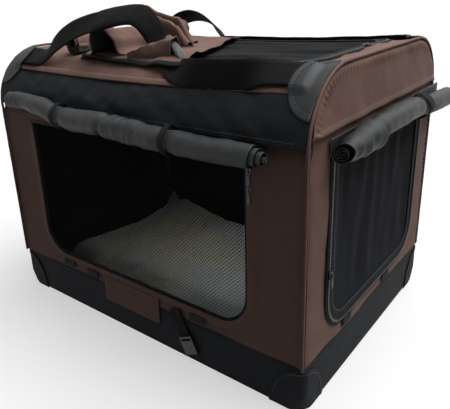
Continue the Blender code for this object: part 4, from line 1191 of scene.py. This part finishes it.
def flap(s, t, out=0.0):
    """The flat free end: s from the hinge to the free edge, t from front to back, 0 to 1."""
    near = Vector(FLAP_CORNERS[0]).lerp(Vector(FLAP_CORNERS[1]), s)
    far = Vector(FLAP_CORNERS[3]).lerp(Vector(FLAP_CORNERS[2]), s)
    spot = near.lerp(far, t)
    curl = 0.0060 * math.exp(-((1 - s) / 0.05) ** 2) * (0.5 + ripple((spot.y, 0, 0), 0.09, 1.0))
    wave = 0.0034 * ripple((spot.x, spot.y, 0), 0.045, 3.8)
    on_strap = 0.0070 * ease((s - 0.62) / 0.15) * ease((0.20 - t) / 0.08)
    return on_top(spot.x, spot.y, FLAP_LIFT + 0.0015 + wave + curl + on_strap + out)


work = grid(70, 80)
measure_cloth(work, lambda spot: (spot.x * 0.13, spot.y * 0.17))
for vert in work.verts:
    vert.co = settle(flap((vert.co.x + 1) / 2, (vert.co.y + 1) / 2))
outwards(work)
free_end = piece("cover_free_end", work, [brown_cloth, pale], body="top_door",
                 thick=0.0016)

edge_line = [(0.0, 0.004), (0.992, 0.004)]
work = grid(120, 4)
measure_cloth(work, lambda spot: (spot.x * 0.3, spot.y * 0.004))
points = [*resample(edge_line, 120), edge_line[-1]]
for vert in work.verts:
    s, t = points[round((vert.co.x + 1) * 60)]
    vert.co = settle(flap(s, t + vert.co.y * 0.0045 / 0.36, 0.0012 - 0.0006 * vert.co.y ** 2))
outwards(work)
piece("cover_edge_tape", work, [tape_black], body="top_door", thick=0.0026)

RUCK = ((-1.7, 0.0), (-1.15, 0.06), (-1.02, 0.45), (-0.62, 0.92), (0.0, 1.0), (0.62, 0.92),
        (1.02, 0.45), (1.15, 0.06), (1.7, 0.0))


def through(points, steps):
    """A smooth line through points."""
    line = []
    for i in range(len(points) - 1):
        p0, p1, p2, p3 = (Vector(points[min(max(k, 0), len(points) - 1)])
                          for k in (i - 1, i, i + 1, i + 2))
        for k in range(steps):
            t = k / steps
            line.append(0.5 * (2 * p1 + (p2 - p0) * t + (2 * p0 - 5 * p1 + 4 * p2 - p3) * t * t
                               + (3 * p1 - p0 - 3 * p2 + p3) * t * t * t))
    return line + [Vector(points[-1])]


def ruck(work, start, end, first, last, seed, lean=0.0, rough=1.0, base=(0.0, 0.0),
         shut=0.0):
    """A standing fold from start to end; first and last are its half width and height there, base
    is how far it is raised on what lies under it, and shut how flat its end is pressed."""
    section = through(RUCK, 4)
    made = bmesh.ops.create_grid(work, x_segments=46, y_segments=len(section) - 1, size=1)["verts"]
    start, end = Vector(start), Vector(end)
    across = Vector((start.y - end.y, end.x - start.x)).normalized()
    measure_cloth(work, lambda spot: (spot.x * 0.09, spot.y * 0.07),
                  {f for v in made for f in v.link_faces})
    for vert in made:
        share = (vert.co.x + 1) / 2
        wide, tall = (Vector(first).lerp(Vector(last), share))
        tall *= 1 - shut * ease((share - 0.72) / 0.28)
        x, y = section[round((vert.co.y + 1) / 2 * (len(section) - 1))]
        crease = rough * ripple((share * 0.12, x * 0.02, y * 0.03), 0.034, seed)
        fine = rough * ripple((share * 0.12, x * 0.02, y * 0.03), 0.014, seed + 2)
        wander = 0.010 * rough * ripple((share * 0.12, 0, 0), 0.08, seed + 4)
        spot = (start.lerp(end, share)
                + across * (x * wide * (1 + 0.25 * crease) + lean * y * tall + wander))
        rise = y * tall * (1 + 0.22 * crease) + 0.004 * fine * min(y * 2, 1)
        raised = (base[0] + (base[1] - base[0]) * share) * min(y * 4, 1)
        vert.co = settle(on_top(spot.x, spot.y, FLAP_LIFT + 0.0030 + raised + rise))


work = bmesh.new()
work.loops.layers.uv.new("cloth")
ruck(work, (-0.110, -0.170), (-0.138, 0.000), (0.025, 0.036), (0.022, 0.026), 1.4, lean=0.1,
     rough=0.7, base=(0.012, 0.0))
ruck(work, (-0.168, -0.006), (-0.044, 0.016), (0.012, 0.076), (0.010, 0.036), 7.3, lean=-0.12,
     rough=0.6, shut=0.85)
ruck(work, (-0.112, -0.046), (-0.018, -0.032), (0.013, 0.062), (0.010, 0.032), 4.6, lean=-0.2,
     rough=0.6, shut=0.7)
ruck(work, (-0.044, -0.174), (0.052, -0.160), (0.005, 0.008), (0.013, 0.034), 3.1, lean=0.1,
     rough=0.6)
outwards(work)
heap = piece("cover_rucked_folds", work, [brown_cloth, pale], body="top_door",
             thick=0.0014)

work = bmesh.new()
work.loops.layers.uv.new("cloth")
ruck(work, (0.034, -0.138), (0.096, -0.180), (0.009, 0.032), (0.007, 0.003), 5.5, lean=-0.4,
     rough=0.3)
outwards(work)
lip = piece("cover_turned_edge", work, [pale, brown_cloth], body="top_door",
            thick=0.0014)

# Handles: one long ribbed webbing strap along each top edge, sewn down at the corner patches and
# raised in an arch where it is gripped. The front one has a padded grip, and has slid outwards
# and stands on edge right of the arch, with a twist before it lies flat again.
webbing = oxford("black_ribbed_webbing", "#111111", "#1B1B1A", weave=2.4, depth=0.9,
                 roughness=0.75, gloss=0.08)
WEB, WEB_WIDTH = 0.0025, 0.045
HANDLE_Y = SHOULDER_Y + SHOULDER * math.cos(HANDLE_TURN)
HANDLE_SEAT = SHOULDER_Z + SHOULDER * math.sin(HANDLE_TURN) + 0.0062
LYING = 31


def strap_at(line, side, i, across, out=0.0):
    """A place on the webbing: across it from -1 to 1, and out from its face."""
    x, lean_out, rise, tilt = line[i]
    after = line[min(i + 1, len(line) - 1)]
    before = line[max(i - 1, 0)]
    tangent = Vector((after[0] - before[0], 0, after[2] - before[2])).normalized()
    tilt = math.radians(tilt)
    cross = Vector((0, -side * math.cos(tilt), math.sin(tilt)))
    face = tangent.cross(cross)
    if face.z < 0 or (tilt > 1.2 and face.y * side < 0):
        face = -face
    span = max(0.0, 1 - (x / HOOP_AT) ** 2)
    sag = TOP_SAG * span * (1 - ease(rise / 0.03))
    middle = Vector((x, side * (HANDLE_Y + lean_out), HANDLE_SEAT + max(rise, -0.004) - sag))
    return middle + cross * across * WEB_WIDTH / 2 + face * out


def strap(line, side):
    """Ribbed webbing along a line of (x, outward shift, rise, tilt in degrees)."""
    columns = len(line) - 1
    work = grid(columns, 8)
    lengths = [0.0]
    for a, b in zip(line, line[1:]):
        lengths.append(lengths[-1] + math.dist((a[0], a[2]), (b[0], b[2])))
    measure_cloth(work, lambda spot: (lengths[round((spot.x + 1) / 2 * columns)],
                                      spot.y * WEB_WIDTH / 2))
    for vert in work.verts:
        i = round((vert.co.x + 1) / 2 * columns)
        limp = 0.0012 * ripple((line[i][0], vert.co.y * 0.02, 0), 0.03, side)
        vert.co = strap_at(line, side, i, vert.co.y, WEB + limp)
    bmesh.ops.recalc_face_normals(work, faces=work.faces)
    if sum(f.normal.z for f in work.faces) < 0:
        bmesh.ops.reverse_faces(work, faces=work.faces)
    return work


FRONT_HANDLE = ((-0.318, 0, 0, LYING), (-0.290, 0, 0, LYING), (-0.268, 0, 0.0005, LYING),
                (-0.252, 0, 0.004, 44), (-0.232, -0.002, 0.016, 60), (-0.198, -0.008, 0.036, 62),
                (-0.158, -0.015, 0.052, 56), (-0.112, -0.022, 0.063, 48), (-0.070, -0.029, 0.070, 42),
                (-0.038, -0.034, 0.073, 38), (-0.020, -0.038, 0.070, 36), (-0.008, -0.043, 0.057, 38),
                (-0.001, -0.050, 0.040, 42), (0.005, -0.056, 0.024, 44), (0.012, -0.056, 0.017, 38),
                (0.030, -0.042, 0.012, 15), (0.055, -0.022, 0.0065, 20), (0.080, -0.004, 0.001, 34),
                (0.105, 0.010, -0.001, 58), (0.135, 0.0185, 0, 80), (0.165, 0.0200, 0, 86),
                (0.220, 0.0190, 0, 84), (0.238, 0.0150, 0.001, 72), (0.252, 0.0060, 0.001, 48),
                (0.268, 0.001, 0.0005, 34), (0.290, 0, 0, LYING), (0.318, 0, 0, LYING))
BACK_HANDLE = ((-0.318, 0, 0, LYING), (-0.305, 0, 0.001, LYING), (-0.285, 0, 0.006, 32),
               (-0.262, 0, 0.026, 34), (-0.235, 0, 0.041, 36), (-0.200, 0, 0.047, 36),
               (-0.165, 0, 0.041, 34), (-0.135, 0, 0.024, 32), (-0.112, 0, 0.005, LYING),
               (-0.095, 0, 0.000, LYING), (0.000, 0, 0.0008, LYING), (0.120, 0, 0, LYING),
               (0.240, 0, 0.0008, LYING), (0.318, 0, 0, LYING))
for name, side, route in (("front", -1, FRONT_HANDLE), ("back", 1, BACK_HANDLE)):
    line = through(route, 7)
    piece(f"{name}_handle_web", strap(line, side), [webbing],
          [f"{name}_handle"], body=f"{name}_handle", thick=WEB)

line = through(FRONT_HANDLE, 14)
grip_line = [i for i in range(len(line)) if -0.120 < line[i][0] < 0.001]
work = grid(len(grip_line) - 1, 20)
measure_cloth(work, lambda spot: (spot.x * 0.07, spot.y * 0.05))
for vert in work.verts:
    share = (vert.co.x + 1) / 2
    i = grip_line[round(share * (len(grip_line) - 1))]
    angle = (vert.co.y + 1) * math.pi
    full = min(1.0, 0.55 + 3 * min(share, 1 - share))
    puff = 0.0012 * ripple((share * 0.13, math.cos(angle) * 0.02, math.sin(angle) * 0.02), 0.02, 3)
    across = math.copysign(abs(math.cos(angle)) ** 0.6, math.cos(angle)) * 1.10
    vert.co = strap_at(line, -1, i, across, WEB / 2 + (0.0068 * full + puff) * math.sin(angle))
bmesh.ops.remove_doubles(work, verts=work.verts, dist=0.0001)
bmesh.ops.holes_fill(work, edges=[e for e in work.edges if e.is_boundary], sides=30)
bmesh.ops.recalc_face_normals(work, faces=work.faces)
piece("front_grip_sleeve", work, [webbing], body="front_handle", soft=1)

# Front trim: a brown patch sewn over the middle of the lower seam, hook patches for the rolled-up
# covers' corners, and a short webbing strap that ends in a moulded buckle.
hook = oxford("black_hook_tape", "#17181A", "#222426", weave=1.3, depth=1.0, gloss=0.15)
HOOK_HALF = (0.016, 0.0065)


def on_patch(u, v, out=0.0):
    return front(u, v, 0.0036 + 0.0010 * ripple((u, v, 0), 0.03, 4.4) + out)


work = shaped(panel(40, 16, (0.0725, 0.0265), (-0.0125, 0.0760)), on_patch)
patch = piece("front_patch_cloth", work, [brown_cloth], ["front_patch"],
              thick=0.0026, folds=False)
patch_seam = [(-0.082, 0.1000), (-0.082, 0.0525), (0.057, 0.0525), (0.057, 0.1000),
              (-0.082, 0.1000)]
sewn("front_patch_stitches", patch_seam, on_patch, thread_brown, folds=False)
for name, place, u, v in (
    ("front_left", front, -0.190, 0.0975), ("front_middle", front, -0.118, 0.0955),
    ("front_right", front, 0.150, 0.0970), ("right_near", right, -0.110, 0.0985),
    ("right_far", right, 0.060, 0.0985), ("left_near", left, -0.080, 0.0985),
    ("left_far", left, 0.100, 0.0985),
):
    work = panel(12, 6, HOOK_HALF, (u, v))
    lift = 0.0052 if place == front else 0.0030
    shaped(work, lambda a, b: place(a, b, lift + 0.0003 * ripple((a, b, 0), 0.004, 1)))
    piece(f"hook_patch_{name}", work, [hook], thick=0.0016)

STRAP_AT, STRAP_TOP, STRAP_LEAN = 0.098, 0.09644, math.radians(26)
STRAP_HALF_WIDE, STRAP_LONG = 0.012, 0.052
work = panel(8, 20, (STRAP_HALF_WIDE, STRAP_LONG / 2), (0, -STRAP_LONG / 2))
measure_cloth(work, lambda spot: (spot.y, spot.x))
for vert in work.verts:
    x, y = vert.co.xy
    bow = 0.0008 * math.sin(y / STRAP_LONG * math.pi) ** 2
    vert.co = front(STRAP_AT + x * math.cos(STRAP_LEAN) - y * math.sin(STRAP_LEAN),
                    STRAP_TOP + x * math.sin(STRAP_LEAN) + y * math.cos(STRAP_LEAN),
                    0.0042 + bow)
outwards(work)
piece("closing_strap_web", work, [webbing], ["closing_strap"],
      body="closing_strap", thick=0.0020, folds=False)

# Moulded acetal: a waxy half gloss over a fine spark-eroded grain
acetal = grained("black_acetal", 500.0, 0.15, 0.0002, roughness=(0.20, 0.36),
                 Base_Color=linear("#1B1C1F"))
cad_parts["buckle"].material_slots[0].material = acetal

# Cushion: a fleece cover round loose hollow fibre, cut and sewn flat round its edge and lightly
# filled, so that it is crowned between its corners and lies in soft lumps, dimples and creases. Its
# left edge and back corner ride up the walls, where it is a little too long for the floor.
CUSHION_HALF = (0.303, 0.197)
CUSHION_LOW, CUSHION_TOP = 0.0040, 0.074
RIM, CROWN, VOXEL = 0.018, 0.046, 0.006
SWELL, SWELL_FRAMES = 0.014, 20
CUSHION_ROOM = (0.3085, 0.2030)
EDGE_SEAM = 0.0325
fleece, tree, shader = surface("short_pile_fleece", Roughness=0.95, Sheen_Weight=0.35,
                               Sheen_Roughness=0.6, Specular_IOR_Level=0.15)
place = add(tree, "TexCoord")
tuft = add(tree, "TexNoise", {"Vector": place.outputs["Object"], "Scale": 420.0, "Detail": 3.0})
cloud = add(tree, "TexNoise", {"Vector": place.outputs["Object"], "Scale": 7.0, "Detail": 3.0})
warm = add(tree, "MapRange", {"Value": cloud.outputs["Fac"], "From Min": 0.38, "From Max": 0.62})
ground = add(tree, "MixRGB", {"Fac": warm.outputs[0], "Color1": linear("#E6E0C2"),
                              "Color2": linear("#D8E2E4")})
# Painted shade in the pile between the tufts, and a little painted light on their tips
shade = add(tree, "MapRange", {"Value": tuft.outputs["Fac"], "To Min": 0.80, "To Max": 1.06})
dye_and_painted_shading = add(tree, "MixRGB", {"Fac": 1.0, "Color1": ground.outputs[0], "Color2": shade.outputs[0]},
           blend_type="MULTIPLY")
tree.links.new(dye_and_painted_shading.outputs[0], shader.inputs["Base Color"])
bump = add(tree, "Bump", {"Height": tuft.outputs["Fac"], "Strength": 0.8, "Distance": 0.0020})
tree.links.new(bump.outputs[0], shader.inputs["Normal"])

work = bmesh.new()
bmesh.ops.create_cube(work, size=1)
bmesh.ops.subdivide_edges(work, edges=[e for e in work.edges
                                       if abs(e.verts[0].co.z - e.verts[1].co.z) < 0.5],
                          cuts=23, use_grid_fill=True)
for vert in work.verts:
    x, y = 2 * vert.co.x, 2 * vert.co.y
    crown = max(0.0, (1 - x ** 4) * (1 - y ** 4)) ** 0.6
    pinch = 1 - 0.035 * (1 - x * x) * abs(y) ** 6 - 0.035 * (1 - y * y) * abs(x) ** 6
    half = (RIM + (CROWN - RIM) * crown) / 2
    vert.co = (x * (CUSHION_HALF[0] - 0.004) * pinch, y * (CUSHION_HALF[1] - 0.004) * pinch,
               (CUSHION_LOW + CUSHION_TOP) / 2 - 0.006 + math.copysign(half, vert.co.z))
bmesh.ops.recalc_face_normals(work, faces=work.faces)
start = bpy.data.meshes.new("cushion_start")
work.to_mesh(start)
work.free()
pad = bpy.data.objects.new("cushion_start", start)
scene.collection.objects.link(pad)
even = pad.modifiers.new("even", "REMESH")
even.mode = "VOXEL"
even.voxel_size = VOXEL
depsgraph = bpy.context.evaluated_depsgraph_get()
pad.data = bpy.data.meshes.new_from_object(pad.evaluated_get(depsgraph))
pad.modifiers.clear()
rest = [v.co.copy() for v in pad.data.vertices]
swell = pad.modifiers.new("swell", "CLOTH")
swell.settings.use_pressure = True
swell.settings.uniform_pressure_force = 4
swell.settings.effector_weights.gravity = 0
swell.settings.tension_stiffness = 12
swell.settings.compression_stiffness = 12
swell.settings.bending_stiffness = 0.4
for moment in range(1, SWELL_FRAMES + 1):
    scene.frame_set(moment)
depsgraph = bpy.context.evaluated_depsgraph_get()
pad.data = bpy.data.meshes.new_from_object(pad.evaluated_get(depsgraph))
pad.modifiers.clear()
scene.frame_set(1)
work = bmesh.new()
work.from_mesh(pad.data)
bpy.data.objects.remove(pad)
for vert, was in zip(work.verts, rest):
    move = vert.co - was
    if move.length > SWELL:
        vert.co = was + move.normalized() * SWELL
bmesh.ops.smooth_vert(work, verts=work.verts, factor=0.5, use_axis_x=True, use_axis_y=True,
                      use_axis_z=True)
LUMPS = (  # x, y, radius, rise: corner that rides up, the mound beside it, and dips in the middle
    (-0.290, 0.180, 0.040, 0.034), (-0.255, 0.165, 0.022, -0.016), (-0.200, 0.175, 0.055, 0.022),
    (-0.290, -0.100, 0.120, 0.012), (0.040, 0.030, 0.070, -0.016), (0.120, -0.060, 0.050, -0.012),
    (-0.080, -0.060, 0.090, 0.006), (0.220, 0.100, 0.080, 0.006), (0.200, -0.150, 0.070, 0.008),
)
CREASES = (  # x, y, direction in degrees, length: sharp valleys that run in from the edge
    (-0.170, -0.120, 70, 0.12), (-0.060, -0.050, 20, 0.16), (0.080, 0.020, -35, 0.14),
    (0.235, -0.080, 60, 0.12), (-0.120, 0.100, -15, 0.14), (0.150, 0.110, 10, 0.12),
)
for vert in work.verts:
    x, y, z = vert.co
    above = ease((z - 0.030) / 0.020)
    lift = 0.0055 * ripple((x, y, 0), 0.07, 3.3) + 0.0014 * ripple((x, y, 0), 0.020, 5.3)
    lift += 0.020 * math.exp(-((x + 0.31) / 0.075) ** 2) + 0.016 * math.exp(-((y - 0.21) / 0.06) ** 2)
    for lump_x, lump_y, radius, rise in LUMPS:
        lift += rise * math.exp(-((x - lump_x) ** 2 + (y - lump_y) ** 2) / radius ** 2)
    for crease_x, crease_y, turn, length in CREASES:
        way = Vector((math.cos(math.radians(turn)), math.sin(math.radians(turn))))
        off = Vector((x - crease_x, y - crease_y))
        run = off.dot(way)
        bow = 0.015 * math.sin(run / length * math.pi)
        apart = abs(off.dot(way.orthogonal()) + bow)
        fade = ease(1 - abs(run) / length)
        lift -= fade * (0.0090 * math.exp(-(apart / 0.010) ** 2)
                        - 0.0040 * math.exp(-((apart - 0.022) / 0.012) ** 2))
    vert.co.z = max(z + above * lift, CUSHION_LOW)
    seam = math.exp(-((z - EDGE_SEAM) / 0.0035) ** 2)
    vert.co.x *= 1 - 0.010 * seam * (abs(x) > 0.26)
    vert.co.y *= 1 - 0.014 * seam * (abs(y) > 0.16)
    vert.co.x = min(max(vert.co.x, -CUSHION_ROOM[0]), CUSHION_ROOM[0])
    vert.co.y = min(max(vert.co.y, -CUSHION_ROOM[1]), CUSHION_ROOM[1])
bmesh.ops.recalc_face_normals(work, faces=work.faces)
cushion = piece("cushion_pad", work, [fleece], ["cushion"], soft=1, folds=False)
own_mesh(cushion)
